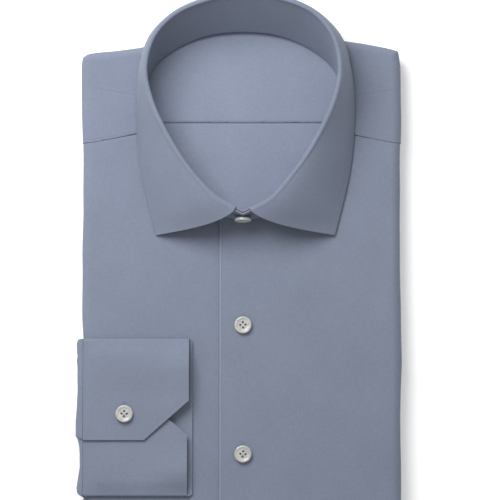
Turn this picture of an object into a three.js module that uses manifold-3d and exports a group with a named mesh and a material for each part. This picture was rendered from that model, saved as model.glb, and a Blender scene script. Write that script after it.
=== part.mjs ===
// Long sleeve dress shirt, folded and lying face up, with its collar buttoned and standing.
// Units are millimetres and +Z is up. The collar points to +Y and the bottom fold to -Y.
// Inside the file X = 0 is the line of the front buttons and Y = 0 is the centre front neck.
import * as THREE from 'three';
import { mergeVertices } from 'three/addons/utils/BufferGeometryUtils.js';
import Module from 'manifold-3d';

const wasm = await Module();
wasm.setup();

// Driving dimensions
const CLOTH = 1.2;
const GAP = 0.3;
const FRONT_TOP = 20;
const FOLD_RADIUS = 6;
const TURN_REACH = 7;
const NECK_TO_FOLD = 0.8;
const FOLD_STEPS = 5;
const SKIRT = 4;
const SKIRT_TUCK = 0.6;
const BOTTOM_FOLD_Y = -259;
const CORNER_RADIUS = 8;
const LAP_HALF_WIDTH = 15.6;
const LAP_RISE = CLOTH + GAP;
const YOKE_RISE = 0.4;
const INSIDE_SEAM_Y = 69.5;

// Fronts: how the neck edge and the outline are shared out, and where the lap's lift ends
const SEAM_SIDE_Y = 57;
const SEAM_SHARE = 0.572;
const NECK_LAP_SHARE = 1.072;
const LAP_FLAT_X = LAP_HALF_WIDTH + 3.4;
const LAP_DOWN_X = LAP_HALF_WIDTH + 22.4;
const SIDE_ROWS = 22;
const NECK_ROWS = 18;
const FOOT_ROWS_X = [80, 54, LAP_DOWN_X, LAP_FLAT_X, 0];
const UNDER_FRONT_SHARES = [0, 0.3, 0.65, 1];
const UPPER_FRONT_SHARES = [0, 0.06, 0.12, 0.19, 0.28, 0.45, 0.7, 1];
const CORNER_STEPS = 4;

// Side edges of the folded body, from the yoke seam to the bottom fold
const SIDE_EDGES = [
  { y: 112, left: -107.3, right: 104.1 },
  { y: 76, left: -106.5, right: 104.9 },
  { y: 48, left: -106.0, right: 104.1 },
  { y: 12, left: -105.7, right: 103.8 },
  { y: -14, left: -106.4, right: 103.8 },
  { y: -60, left: -106.2, right: 104.3 },
  { y: -88, left: -104.2, right: 104.6 },
  { y: -125, left: -104.2, right: 103.6 },
  { y: -165, left: -104.2, right: 103.9 },
  { y: -195, left: -105.6, right: 103.8 },
  { y: -259, left: -105.6, right: 103.4 },
];

// Shoulder edge from the side to the centre back, as a distance out from the button line
const SHOULDER_EDGE = [
  { x: 106.2, left: 114.4, right: 116.2 },
  { x: 102.4, left: 117.0, right: 119.0 },
  { x: 84, left: 119.0, right: 123.2 },
  { x: 65, left: 122.0, right: 126.0 },
  { x: 50, left: 126.5, right: 129.4 },
  { x: 34, left: 132.2, right: 133.2 },
  { x: 17, left: 135.6, right: 135.8 },
  { x: 0, left: 136.6, right: 136.6 },
];

// Collar, from the centre back (share 0) to the centre front (share 1), one half, as x, y, z.
// base is where the band leaves the neck edge, fold its upper edge, edge the leaf's lower edge.
const COLLAR = [
  { share: 0.0, base: [0, 130.4], fold: [0, 149.7, 55.0], edge: [0, 158.0, 10.5] },
  { share: 0.12, base: [24, 127.8], fold: [23.5, 145.4, 54.8], edge: [25, 153.6, 10.9] },
  { share: 0.24, base: [45, 119.0], fold: [44.2, 135.9, 54.0], edge: [48, 140.0, 13.0] },
  { share: 0.34, base: [59, 107.0], fold: [57.4, 121.8, 52.9], edge: [63, 125.0, 21.6] },
  { share: 0.43, base: [65.8, 90.0], fold: [62.5, 102.5, 51.8], edge: [70, 105.5, 21.8] },
  { share: 0.52, base: [66.0, 74.0], fold: [58.8, 84.0, 50.6], edge: [72.2, 85.0, 21.6] },
  { share: 0.64, base: [59.0, 51.0], fold: [48.6, 62.0, 49.6], edge: [71.6, 60.0, 21.6] },
  { share: 0.77, base: [45.0, 28.0], fold: [33.6, 38.0, 48.6], edge: [68.4, 34.0, 21.2] },
  { share: 0.89, base: [25.5, 13.2], fold: [17.2, 19.2, 47.6], edge: [62.8, 10.0, 21.2] },
  { share: 1.0, base: [0, 7.4], fold: [0, 8.6, 46.4], edge: [59.0, -5.0, 21.2] },
];
const BAND_THICKNESS = 1.2;
const BAND_LAP_SHARE = 1.08;
const BAND_LAP_OUT = BAND_THICKNESS + GAP;
const BAND_LAP_START = 0.8;
const BAND_LAP_FULL = 0.91;
const BAND_BASE_Z = FRONT_TOP + YOKE_RISE + GAP;
const LEAF_THICKNESS = 1.1;
const LEAF_FRONT_SHARE = 0.965;
const LEAF_SHIFT_X = 1.6;
const LEAF_BULGE = 1.6;
const BULGE_FROM = 0.3;
const BULGE_TO = 0.65;
const LEAF_GAP = 0.55;
const LEAF_START_UP = 0.86;

// The leaf's roll over the band: share of the way out, and how far off that and up
const LEAF_ROLL = [
  { share: 0, out: 0, up: 0 },
  { share: 0.4, out: 0, up: 0.35 },
  { share: 1, out: -0.45, up: -0.15 },
];
const LEAF_SIDE = { out: 0.1, up: -0.9 };
const LEAF_FALL_STEPS = 6;
const COLLAR_STEPS = 52;

// Cuff and sleeve end, laid on the front at the lower left
const CUFF_SEAM_X = -104.9;
const CUFF_EDGE_X = -35.4;
const CUFF_TOP_Y = -73.3;
const CUFF_BOTTOM_Y = -176.8;
const CUFF_FLAP_END_Y = -140.2;
const CUFF_UNDERLAP_END_Y = -111.2;
const CUFF_CUT_X = 29.5;
const CUFF_CUT_Y = 25.7;
const CUFF_CLOTH = 1.3;
const CUFF_GAP = 0.35;
const SLEEVE_WALL = 1;
const SLEEVE_SLIT = 0.4;
const SLEEVE_SLOT_Z = 8.1;
const SLEEVE_SLOT_DEPTH = 12;
const SLEEVE_THICKNESS = 2 * SLEEVE_WALL + SLEEVE_SLIT;
const SLEEVE_PLAIN_OUT = 3.1;
const SLEEVE_STEPS = 12;
const SLEEVE_WIDTH_STEPS = 10;
const SLOT_CLEARANCE = 0.3;
const UNDERLAP_STEP_BACK = 1.2;
const BACK_STEP_OUT = 2.2;

// Where the cuff's cross sections lie, as shares of each of its three layers
const UNDERLAP_ROWS = [0, 0.2, 0.42, 0.7, 1];
const BACK_ROWS = [0, 0.25, 0.5, 0.75, 1];
const FLAP_ROWS = [0, 0.3, 0.58, 0.8, 1];
const CUFF_ACROSS = [0, 0.25, 0.5, 0.75, 1];
const BOTTOM_TURN_STEPS = 4;
const TOP_TURN_STEPS = 5;

// The sleeve end's middle line from the cuff round the edge; wave is its share of the bulge
const SLEEVE_PATH = [
  { x: -105.2, z: 22.3, wave: 0 },
  { x: -106.2, z: 21.9, wave: 0.3 },
  { x: -106.9, z: 19.8, wave: 0.8 },
  { x: -107.0, z: 16.0, wave: 1 },
  { x: -107.0, z: 12.4, wave: 1 },
  { x: -106.6, z: 9.8, wave: 0.7 },
  { x: -105.2, z: 8.3, wave: 0.2 },
  { x: -103.0, z: 8.1, wave: 0 },
  { x: -95.0, z: 8.1, wave: 0 },
];

// How far the sleeve end bulges out past the body's side, along its width
const SLEEVE_WAVES = [
  { y: -73, out: 5.2 },
  { y: -84, out: 4.9 },
  { y: -92, out: 4.5 },
  { y: -104, out: 4.2 },
  { y: -117, out: 4.7 },
  { y: -127, out: 5.4 },
  { y: -137, out: 5.5 },
  { y: -143, out: 3.0 },
  { y: -150, out: 2.2 },
  { y: -158, out: 2.2 },
  { y: -165, out: 3.6 },
  { y: -171, out: 4.8 },
  { y: -177, out: 4.0 },
];

// Hidden layers, as the inset of their side from the body's edge at each height
const LAYER_SIDES = [
  { z: 0.0, inset: 3.2 },
  { z: 0.8, inset: 1.4 },
  { z: 2.0, inset: 0.8 },
  { z: 3.1, inset: 1.4 },
  { z: 3.6, inset: 3.0 },
  { z: 4.1, inset: 1.6 },
  { z: 5.1, inset: 1.0 },
  { z: 6.1, inset: 1.6 },
  { z: 6.6, inset: 3.2 },
  { z: 7.0, inset: 2.0 },
  { z: 8.0, inset: 1.4 },
  { z: 9.0, inset: 2.0 },
  { z: 9.4, inset: 2.6 },
  { z: 14.2, inset: 2.6 },
  { z: 16.0, inset: 3.4 },
  { z: 16.8, inset: 4.6 },
];
const BACK_TOP = 18.1;
const YOKE_INSIDE_TOP = 18.5;
const BACK_INSET = 6.2;
const BACK_CLOTH = 1.0;
const YOKE_INSIDE_INSET = 2.4;
const SHOULDER_STEPS = 14;
const SHOULDER_SIDE_Y = 109;
const SHOULDER_IN = 0.7;
const LOOP_OVERLAP = 4;

// Buttons: four-hole, 18 ligne, and a smaller pitch of holes set as a diamond
const BUTTON_RADIUS = 5.75;
const BUTTON_THICKNESS = 2.6;
const BUTTON_SECTION = [
  { radius: 0, height: 0 },
  { radius: 3.6, height: 0 },
  { radius: 5.2, height: 0.5 },
  { radius: BUTTON_RADIUS, height: 1.4 },
  { radius: 5.55, height: 2.2 },
  { radius: 5.0, height: BUTTON_THICKNESS },
  { radius: 4.4, height: 2.5 },
  { radius: 3.7, height: 2.0 },
  { radius: 0, height: 1.9 },
];
const BUTTON_HOLE_RADIUS = 0.75;
const BUTTON_HOLE_OFFSET = 1.75;
const BUTTON_HOLE_SIDES = 8;
const BUTTON_SIDES = 22;
const BUTTON_SPACING = 84.8;
const FIRST_BUTTON_Y = -64.4;
const CUFF_BUTTON_X = -77.8;
const CUFF_BUTTON_Y = -123.0;
const COLLAR_BUTTON_UP = 0.62;

// Centre of the whole shirt's outline, which is moved to the origin
const CENTRE_X = -2.6;
const CENTRE_Y = -50.9;

const cloth = new THREE.MeshStandardMaterial({ color: 0x8a94aa, roughness: 0.92, metalness: 0 });
const insideCloth = new THREE.MeshStandardMaterial({ color: 0x8f98ae, roughness: 0.95, metalness: 0 });
const collarCloth = new THREE.MeshStandardMaterial({ color: 0x868fa6, roughness: 0.88, metalness: 0 });
const shell = new THREE.MeshStandardMaterial({ color: 0xe4e0d8, roughness: 0.25, metalness: 0 });

// Straight-line reading of a table's column at a given place
function readTable(table, key, column, at) {
  const rising = table[table.length - 1][key] > table[0][key];
  const rows = rising ? table : [...table].reverse();
  if (at <= rows[0][key]) return rows[0][column];
  for (let i = 1; i < rows.length; i += 1) {
    if (at > rows[i][key]) continue;
    const share = (at - rows[i - 1][key]) / (rows[i][key] - rows[i - 1][key]);
    return THREE.MathUtils.lerp(rows[i - 1][column], rows[i][column], share);
  }
  return rows[rows.length - 1][column];
}

// A closed wall between two sheets of points of the same layout; ringed joins last row to first
function closedWall(outer, inner, ringed = false) {
  const rows = outer.length;
  const columns = outer[0].length;
  const positions = [...outer, ...inner].flat().flatMap((p) => [p.x, p.y, p.z]);
  const at = (sheet, row, column) => (sheet * rows + (row % rows)) * columns + column;
  const triangles = [];
  const quad = (a, b, c, d) => triangles.push(a, b, c, a, c, d);
  const lastRow = ringed ? rows : rows - 1;
  for (let r = 0; r < lastRow; r += 1) {
    for (let c = 0; c < columns - 1; c += 1) {
      quad(at(0, r, c), at(0, r + 1, c), at(0, r + 1, c + 1), at(0, r, c + 1));
      quad(at(1, r, c), at(1, r, c + 1), at(1, r + 1, c + 1), at(1, r + 1, c));
    }
    const end = columns - 1;
    quad(at(0, r, 0), at(1, r, 0), at(1, r + 1, 0), at(0, r + 1, 0));
    quad(at(0, r, end), at(0, r + 1, end), at(1, r + 1, end), at(1, r, end));
  }
  if (!ringed) {
    const end = rows - 1;
    for (let c = 0; c < columns - 1; c += 1) {
      quad(at(0, 0, c), at(0, 0, c + 1), at(1, 0, c + 1), at(1, 0, c));
      quad(at(0, end, c), at(1, end, c), at(1, end, c + 1), at(0, end, c + 1));
    }
  }
  return outward(positions, triangles);
}

// Geometry from points and triangles, turned so that its faces point out
function outward(positions, triangles) {
  const point = (i) => new THREE.Vector3(positions[3 * i], positions[3 * i + 1], positions[3 * i + 2]);
  let volume = 0;
  for (let i = 0; i < triangles.length; i += 3) {
    const a = point(triangles[i]);
    volume += a.dot(point(triangles[i + 1]).cross(point(triangles[i + 2])));
  }
  const turned = volume < 0 ? triangles.slice().reverse() : triangles;
  const geometry = new THREE.BufferGeometry();
  geometry.setAttribute('position', new THREE.Float32BufferAttribute(positions, 3));
  geometry.setIndex(turned);
  return geometry;
}

function toSolid(geometry) {
  const plain = geometry.clone();
  plain.deleteAttribute('normal');
  plain.deleteAttribute('uv');
  const merged = mergeVertices(plain, 1e-4);
  const vertProperties = new Float32Array(merged.attributes.position.array);
  const triVerts = new Uint32Array(merged.index.array);
  return new wasm.Manifold(new wasm.Mesh({ numProp: 3, vertProperties, triVerts }));
}

function fromSolid(solid) {
  const mesh = solid.getMesh();
  const geometry = new THREE.BufferGeometry();
  geometry.setAttribute('position', new THREE.BufferAttribute(new Float32Array(mesh.vertProperties), 3));
  geometry.setIndex(Array.from(mesh.triVerts));
  return geometry;
}

// Evenly spaced points along a line of plan points, by length
function spacedAlong(points, count) {
  const path = new THREE.CurvePath();
  for (let i = 1; i < points.length; i += 1) path.add(new THREE.LineCurve(points[i - 1], points[i]));
  return path.getSpacedPoints(count - 1);
}

// Plan normals of a clockwise line of points, pointing out of it and turning slowly at corners
function outwardNormals(points) {
  const runs = [0];
  for (let i = 1; i < points.length; i += 1) runs.push(runs[i - 1] + points[i].distanceTo(points[i - 1]));
  const rows = points.map((p, i) => ({ run: runs[i], x: p.x, y: p.y }));
  const read = (column, run) => readTable(rows, 'run', column, run);
  const pointAt = (run) => new THREE.Vector2(read('x', run), read('y', run));
  return runs.map((run) => {
    const along = pointAt(run + TURN_REACH).sub(pointAt(run - TURN_REACH)).normalize();
    return new THREE.Vector2(-along.y, along.x);
  });
}

// The body's side from one height on the plan to another, on the left (-1) or right (1)
function sideLine(side, fromY, toY, count) {
  const column = side < 0 ? 'left' : 'right';
  const points = [];
  for (let i = 0; i < count; i += 1) {
    const y = THREE.MathUtils.lerp(fromY, toY, i / (count - 1));
    points.push(new THREE.Vector2(readTable(SIDE_EDGES, 'y', column, y), y));
  }
  return points;
}

// The shoulder edge from the side to the centre back
function shoulderLine(side) {
  const column = side < 0 ? 'left' : 'right';
  const raw = SHOULDER_EDGE.map((row) => new THREE.Vector2(side * row.x, row[column]));
  raw[0].x = readTable(SIDE_EDGES, 'y', column, raw[0].y) - side * SHOULDER_IN;
  return new THREE.SplineCurve(raw).getSpacedPoints(SHOULDER_STEPS);
}

// A quarter round between the side and the bottom fold
function bottomCorner(side) {
  const column = side < 0 ? 'left' : 'right';
  const edge = readTable(SIDE_EDGES, 'y', column, BOTTOM_FOLD_Y);
  const centre = new THREE.Vector2(edge - side * CORNER_RADIUS, BOTTOM_FOLD_Y + CORNER_RADIUS);
  const points = [];
  for (let i = 0; i <= CORNER_STEPS; i += 1) {
    const turn = (i / CORNER_STEPS) * (Math.PI / 2);
    points.push(new THREE.Vector2(
      centre.x + side * CORNER_RADIUS * Math.cos(turn),
      centre.y - CORNER_RADIUS * Math.sin(turn),
    ));
  }
  return points;
}

// Collar curves: a smooth line through one of the table's columns, mirrored past the front
function collarSpline(column) {
  const half = COLLAR.map((row) => new THREE.Vector3(...row[column], ...(row[column].length < 3 ? [0] : [])));
  const mirrored = half.slice(1).reverse().map((p) => new THREE.Vector3(-p.x, p.y, p.z));
  return new THREE.CatmullRomCurve3([...mirrored, ...half]);
}

function shareToCurve(share) {
  const size = Math.abs(share);
  const rows = COLLAR.map((row, i) => ({ share: row.share, step: i / (COLLAR.length - 1) }));
  const step = readTable(rows, 'share', 'step', size);
  return 0.5 + 0.5 * Math.sign(share) * step;
}

const baseCurve = collarSpline('base');
const foldCurve = collarSpline('fold');
const edgeCurve = collarSpline('edge');

// A point of a closed collar curve; a share past 1 runs on over the other side
function collarPoint(curve, share) {
  const wrapped = Math.abs(share) > 1 ? share - 2 * Math.sign(share) : share;
  return curve.getPoint(shareToCurve(wrapped));
}

// Plan direction pointing out of the neck
function collarOut(curve, share) {
  const step = 0.01;
  const before = collarPoint(curve, share - step);
  const after = collarPoint(curve, share + step);
  const along = new THREE.Vector3(after.x - before.x, after.y - before.y, 0).normalize();
  return new THREE.Vector3(-along.y, along.x, 0);
}

// How far a front is lifted where it lies on the other one
function lapLift(x) {
  return LAP_RISE * (1 - THREE.MathUtils.smoothstep(x, LAP_FLAT_X, LAP_DOWN_X));
}

// A panel of the body: flat from its inner line, rounded over the fold, with a short skirt
function bodyPanel(innerLine, outline, flatShares, lift) {
  const count = outline.length;
  const inner = spacedAlong(innerLine, count);
  const normals = outwardNormals(outline);
  const sheets = [0, CLOTH].map((depth) => outline.map((edge, i) => {
    const normal = normals[i];
    const reach = Math.min(FOLD_RADIUS, edge.distanceTo(inner[i]) - NECK_TO_FOLD);
    const flatEnd = edge.clone().addScaledVector(normal, -reach);
    const row = flatShares.map((share) => {
      const p = inner[i].clone().lerp(flatEnd, share);
      return new THREE.Vector3(p.x, p.y, FRONT_TOP + lift(p) - depth);
    });
    const rise = lift(flatEnd);
    const out = reach + rise - depth;
    const up = FOLD_RADIUS + rise - depth;
    for (let k = 1; k <= FOLD_STEPS; k += 1) {
      const turn = (k / FOLD_STEPS) * (Math.PI / 2);
      const p = flatEnd.clone().addScaledVector(normal, out * Math.sin(turn));
      row.push(new THREE.Vector3(p.x, p.y, FRONT_TOP - FOLD_RADIUS + up * Math.cos(turn)));
    }
    const hem = flatEnd.clone().addScaledVector(normal, out - SKIRT_TUCK);
    row.push(new THREE.Vector3(hem.x, hem.y, FRONT_TOP - FOLD_RADIUS - SKIRT));
    return row;
  }));
  return closedWall(sheets[0], sheets[1]);
}

// The neck edge of the cloth, under the band's outer part, between two shares
function neckLine(fromShare, toShare, steps) {
  const points = [];
  for (let i = 0; i <= steps; i += 1) {
    const share = THREE.MathUtils.lerp(fromShare, toShare, i / steps);
    const out = collarOut(baseCurve, share);
    const p = collarPoint(baseCurve, share).addScaledVector(out, BAND_THICKNESS / 2);
    points.push(new THREE.Vector2(p.x, p.y));
  }
  return points;
}

// A front: neck edge and front edge inside, side edge and bottom fold outside
function buildFront(side) {
  const frontEdge = -side * LAP_HALF_WIDTH;
  const neck = neckLine(side * SEAM_SHARE, side * NECK_LAP_SHARE, NECK_ROWS);
  neck[0].y -= GAP / 2;
  neck[neck.length - 1].x = frontEdge;
  const innerLine = [...neck, new THREE.Vector2(frontEdge, BOTTOM_FOLD_Y + FOLD_RADIUS + 1)];
  const corner = bottomCorner(side);
  const sides = sideLine(side, SEAM_SIDE_Y - GAP / 2, corner[0].y + 4, SIDE_ROWS);
  const footX = [...FOOT_ROWS_X.map((x) => side * x), frontEdge];
  const foot = footX.map((x) => new THREE.Vector2(x, BOTTOM_FOLD_Y));
  const outline = [...sides, ...corner, ...foot];
  if (side < 0) return mirroredPanel(innerLine, outline, UNDER_FRONT_SHARES);
  const lift = (p) => lapLift(Math.abs(p.x));
  return bodyPanel(innerLine, outline, UPPER_FRONT_SHARES, lift);
}

// A left-hand panel is worked out as a right-hand one and turned over
function mirroredPanel(innerLine, outline, flatShares) {
  const flip = (p) => new THREE.Vector2(-p.x, p.y);
  const geometry = bodyPanel(innerLine.map(flip), outline.map(flip), flatShares, () => 0);
  const positions = Array.from(geometry.attributes.position.array);
  for (let i = 0; i < positions.length; i += 3) positions[i] *= -1;
  return outward(positions, Array.from(geometry.index.array));
}

// The body's upper outline, clockwise from one seam's end over the shoulders to the other's
function upperOutline(fromY) {
  const left = [...sideLine(-1, fromY, SHOULDER_SIDE_Y, 5), ...shoulderLine(-1)];
  const right = [...sideLine(1, fromY, SHOULDER_SIDE_Y, 5), ...shoulderLine(1)];
  right.pop();
  return [...left, ...right.reverse()];
}

function insetOutline(points, inset) {
  const normals = outwardNormals(points);
  return points.map((p, i) => p.clone().addScaledVector(normals[i], -inset));
}

// A flat layer of cloth: a plan shape with its underside at the given height
function flatLayer(points, underside, thickness) {
  const shape = new THREE.Shape(points);
  const geometry = new THREE.ExtrudeGeometry(shape, { depth: thickness, bevelEnabled: false });
  return geometry.translate(0, 0, underside);
}

// The yoke: shoulder pieces on top, folded over the shoulders to the inside layer in the neck
function buildYoke() {
  const neck = neckLine(-SEAM_SHARE, SEAM_SHARE, 40);
  neck[0].y += GAP / 2;
  neck[neck.length - 1].y += GAP / 2;
  const outline = upperOutline(SEAM_SIDE_Y + GAP / 2);
  const topLayer = bodyPanel(neck, outline, [0, 0.5, 1], () => YOKE_RISE);
  const insideEdge = insetOutline(upperOutline(INSIDE_SEAM_Y + GAP / 2), YOKE_INSIDE_INSET);
  const inside = flatLayer(insideEdge, YOKE_INSIDE_TOP - CLOTH, CLOTH);
  return fromSolid(toSolid(topLayer).add(toSolid(inside)));
}

// The back, flat under the fronts, with its top edge at the inside seam
function buildBack() {
  const top = INSIDE_SEAM_Y - GAP / 2;
  const foot = BOTTOM_FOLD_Y + CORNER_RADIUS + 1;
  const left = [...bottomCorner(-1).reverse(), ...sideLine(-1, foot, top, 10)];
  const right = [...sideLine(1, top, foot, 10), ...bottomCorner(1)];
  const points = [...insetOutline(left, BACK_INSET), ...insetOutline(right, BACK_INSET)];
  return flatLayer(points, BACK_TOP - BACK_CLOTH, BACK_CLOTH);
}

// The whole body outline, clockwise, for the hidden layers
function wholeOutline() {
  const foot = BOTTOM_FOLD_Y + CORNER_RADIUS + 4;
  const left = [...bottomCorner(-1).reverse(), ...sideLine(-1, foot, 56, 7)];
  const right = [...sideLine(1, 56, foot, 7), ...bottomCorner(1)];
  return [...left, ...upperOutline(68), ...right];
}

// Plan normals of a closed clockwise loop
function loopNormals(points) {
  const wrapped = [...points.slice(-LOOP_OVERLAP), ...points, ...points.slice(0, LOOP_OVERLAP)];
  return outwardNormals(wrapped).slice(LOOP_OVERLAP, -LOOP_OVERLAP);
}

// Hidden layers: one rounded stack with a groove between each pair of layers round its sides
function buildLayers() {
  const outline = wholeOutline();
  const normals = loopNormals(outline);
  const rings = LAYER_SIDES.map((level) => outline.map((p, i) => {
    const q = p.clone().addScaledVector(normals[i], -level.inset);
    return new THREE.Vector3(q.x, q.y, level.z);
  }));
  const stack = toSolid(closedStack(rings));
  const slotLength = CUFF_TOP_Y - CUFF_BOTTOM_Y + 2 * SLOT_CLEARANCE;
  const slotHeight = SLEEVE_THICKNESS + 2 * SLOT_CLEARANCE;
  const slot = new THREE.BoxGeometry(2 * SLEEVE_SLOT_DEPTH, slotLength, slotHeight);
  slot.translate(CUFF_SEAM_X, (CUFF_TOP_Y + CUFF_BOTTOM_Y) / 2, SLEEVE_SLOT_Z);
  return fromSolid(stack.subtract(toSolid(slot)));
}

// A solid through closed rings, from the lowest to the highest, with flat ends
function closedStack(rings) {
  const size = rings[0].length;
  const positions = rings.flat().flatMap((p) => [p.x, p.y, p.z]);
  const triangles = [];
  for (let r = 0; r < rings.length - 1; r += 1) {
    for (let i = 0; i < size; i += 1) {
      const next = (i + 1) % size;
      const low = r * size;
      const high = low + size;
      triangles.push(low + i, low + next, high + next, low + i, high + next, high + i);
    }
  }
  const flat = rings[0].map((p) => new THREE.Vector2(p.x, p.y));
  const last = (rings.length - 1) * size;
  const top = rings[rings.length - 1].map((p) => new THREE.Vector2(p.x, p.y));
  for (const [a, b, c] of THREE.ShapeUtils.triangulateShape(flat, [])) triangles.push(a, b, c);
  for (const [a, b, c] of THREE.ShapeUtils.triangulateShape(top, [])) {
    triangles.push(last + c, last + b, last + a);
  }
  return outward(positions, triangles);
}

// The band's wall at a share of the way round and up: inner face, or outer face if faced out
function bandPoint(share, up, facedOut) {
  const out = collarOut(baseCurve, share);
  const base = collarPoint(baseCurve, share);
  const lap = BAND_LAP_OUT * THREE.MathUtils.smoothstep(share, BAND_LAP_START, BAND_LAP_FULL);
  base.z = BAND_BASE_Z + lapLift(Math.abs(base.x));
  const point = base.lerp(collarPoint(foldCurve, share), up);
  return point.addScaledVector(out, lap + (facedOut ? BAND_THICKNESS : 0));
}

function buildBand() {
  const steps = COLLAR_STEPS + 6;
  const sheets = [true, false].map((facedOut) => {
    const rows = [];
    for (let i = 0; i <= steps; i += 1) {
      const share = THREE.MathUtils.lerp(-BAND_LAP_SHARE, BAND_LAP_SHARE, i / steps);
      rows.push([0, 0.33, 0.67, 1].map((up) => bandPoint(share, up, facedOut)));
    }
    return rows;
  });
  return closedWall(sheets[0], sheets[1]);
}

// Centre line of the leaf across its width: over the band's top edge, then down to its own edge
function leafSection(share) {
  const out = collarOut(foldCurve, share);
  const fold = bandPoint(share, 1, false);
  const edge = collarPoint(edgeCurve, share / LEAF_FRONT_SHARE);
  edge.x += LEAF_SHIFT_X;
  const half = LEAF_THICKNESS / 2;
  const overEnd = BAND_LAP_OUT * THREE.MathUtils.smoothstep(-share, BAND_LAP_START, BAND_LAP_FULL);
  const outside = BAND_THICKNESS + LEAF_GAP + half + overEnd;
  const roll = (outBy, upBy) => fold.clone().addScaledVector(out, outBy).setZ(fold.z + upBy);
  const start = bandPoint(share, LEAF_START_UP, true).addScaledVector(out, LEAF_GAP + half + overEnd);
  const fall = edge.clone().sub(start);
  const bulge = out.clone().multiplyScalar(LEAF_BULGE).setZ(LEAF_BULGE);
  const curve = new THREE.CubicBezierCurve3(
    start,
    start.clone().addScaledVector(fall, BULGE_FROM).add(bulge),
    start.clone().addScaledVector(fall, BULGE_TO).add(bulge),
    edge,
  );
  return [
    ...LEAF_ROLL.map((row) => roll(row.share * outside + row.out, GAP + half + row.up)),
    roll(outside + LEAF_SIDE.out, LEAF_SIDE.up),
    ...curve.getPoints(LEAF_FALL_STEPS),
  ];
}

// The leaf, both sides in one piece, joined at the centre back
function buildLeaf() {
  const lines = [];
  for (let i = 0; i <= COLLAR_STEPS; i += 1) {
    lines.push(leafSection(THREE.MathUtils.lerp(-LEAF_FRONT_SHARE, LEAF_FRONT_SHARE, i / COLLAR_STEPS)));
  }
  return thickened(lines, LEAF_THICKNESS);
}

// A wall half its thickness to each side of a sheet of points
function thickened(lines, thickness) {
  const clampRow = (i) => lines[Math.min(Math.max(i, 0), lines.length - 1)];
  const normalAt = (i, j) => {
    const last = lines[0].length - 1;
    const across = lines[i][Math.min(j + 1, last)].clone().sub(lines[i][Math.max(j - 1, 0)]);
    const along = clampRow(i + 1)[j].clone().sub(clampRow(i - 1)[j]);
    return across.cross(along).normalize();
  };
  const moved = (i, j, offset) => lines[i][j].clone().addScaledVector(normalAt(i, j), offset);
  const sheet = (offset) => lines.map((line, i) => line.map((_, j) => moved(i, j, offset)));
  return closedWall(sheet(thickness / 2), sheet(-thickness / 2));
}

// Points of the cuff's flat spiral, from the underlap's end to the flap's end.
// edge is the wrist edge there, turned back by the cut corners near both ends.
function cuffSpiral() {
  const pitch = CUFF_CLOTH + CUFF_GAP;
  const low = FRONT_TOP + GAP + CUFF_CLOTH / 2;
  const half = CUFF_CLOTH / 2;
  const cut = (left) => CUFF_CUT_X * Math.max(0, 1 - left / CUFF_CUT_Y);
  const rows = [];
  const bottomTurn = CUFF_BOTTOM_Y + half + pitch / 2;
  const topTurn = CUFF_TOP_Y - half - pitch;
  for (const step of UNDERLAP_ROWS) {
    const y = THREE.MathUtils.lerp(CUFF_UNDERLAP_END_Y, bottomTurn, step);
    rows.push({ y, z: low + pitch, edge: CUFF_EDGE_X - UNDERLAP_STEP_BACK - cut(CUFF_UNDERLAP_END_Y - y) });
  }
  for (let step = 1; step < BOTTOM_TURN_STEPS; step += 1) {
    const turn = (step / BOTTOM_TURN_STEPS) * Math.PI;
    rows.push({
      y: bottomTurn - (pitch / 2) * Math.sin(turn),
      z: low + (pitch / 2) * (1 + Math.cos(turn)),
      edge: CUFF_EDGE_X,
    });
  }
  for (const step of BACK_ROWS) {
    const y = THREE.MathUtils.lerp(bottomTurn, topTurn, step);
    rows.push({ y, z: low, edge: CUFF_EDGE_X + BACK_STEP_OUT });
  }
  for (let step = 1; step < TOP_TURN_STEPS; step += 1) {
    const turn = (step / TOP_TURN_STEPS) * Math.PI;
    const z = low + pitch * (1 - Math.cos(turn));
    rows.push({ y: topTurn + pitch * Math.sin(turn), z, edge: CUFF_EDGE_X });
  }
  for (const step of FLAP_ROWS) {
    const y = THREE.MathUtils.lerp(topTurn, CUFF_FLAP_END_Y, step);
    rows.push({ y, z: low + 2 * pitch, edge: CUFF_EDGE_X - cut(y - CUFF_FLAP_END_Y) });
  }
  return rows;
}

function buildCuff() {
  const lines = cuffSpiral().map((row) => CUFF_ACROSS.map((share) => (
    new THREE.Vector3(THREE.MathUtils.lerp(CUFF_SEAM_X, row.edge, share), row.y, row.z)
  )));
  return thickened(lines, CUFF_CLOTH);
}

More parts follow.
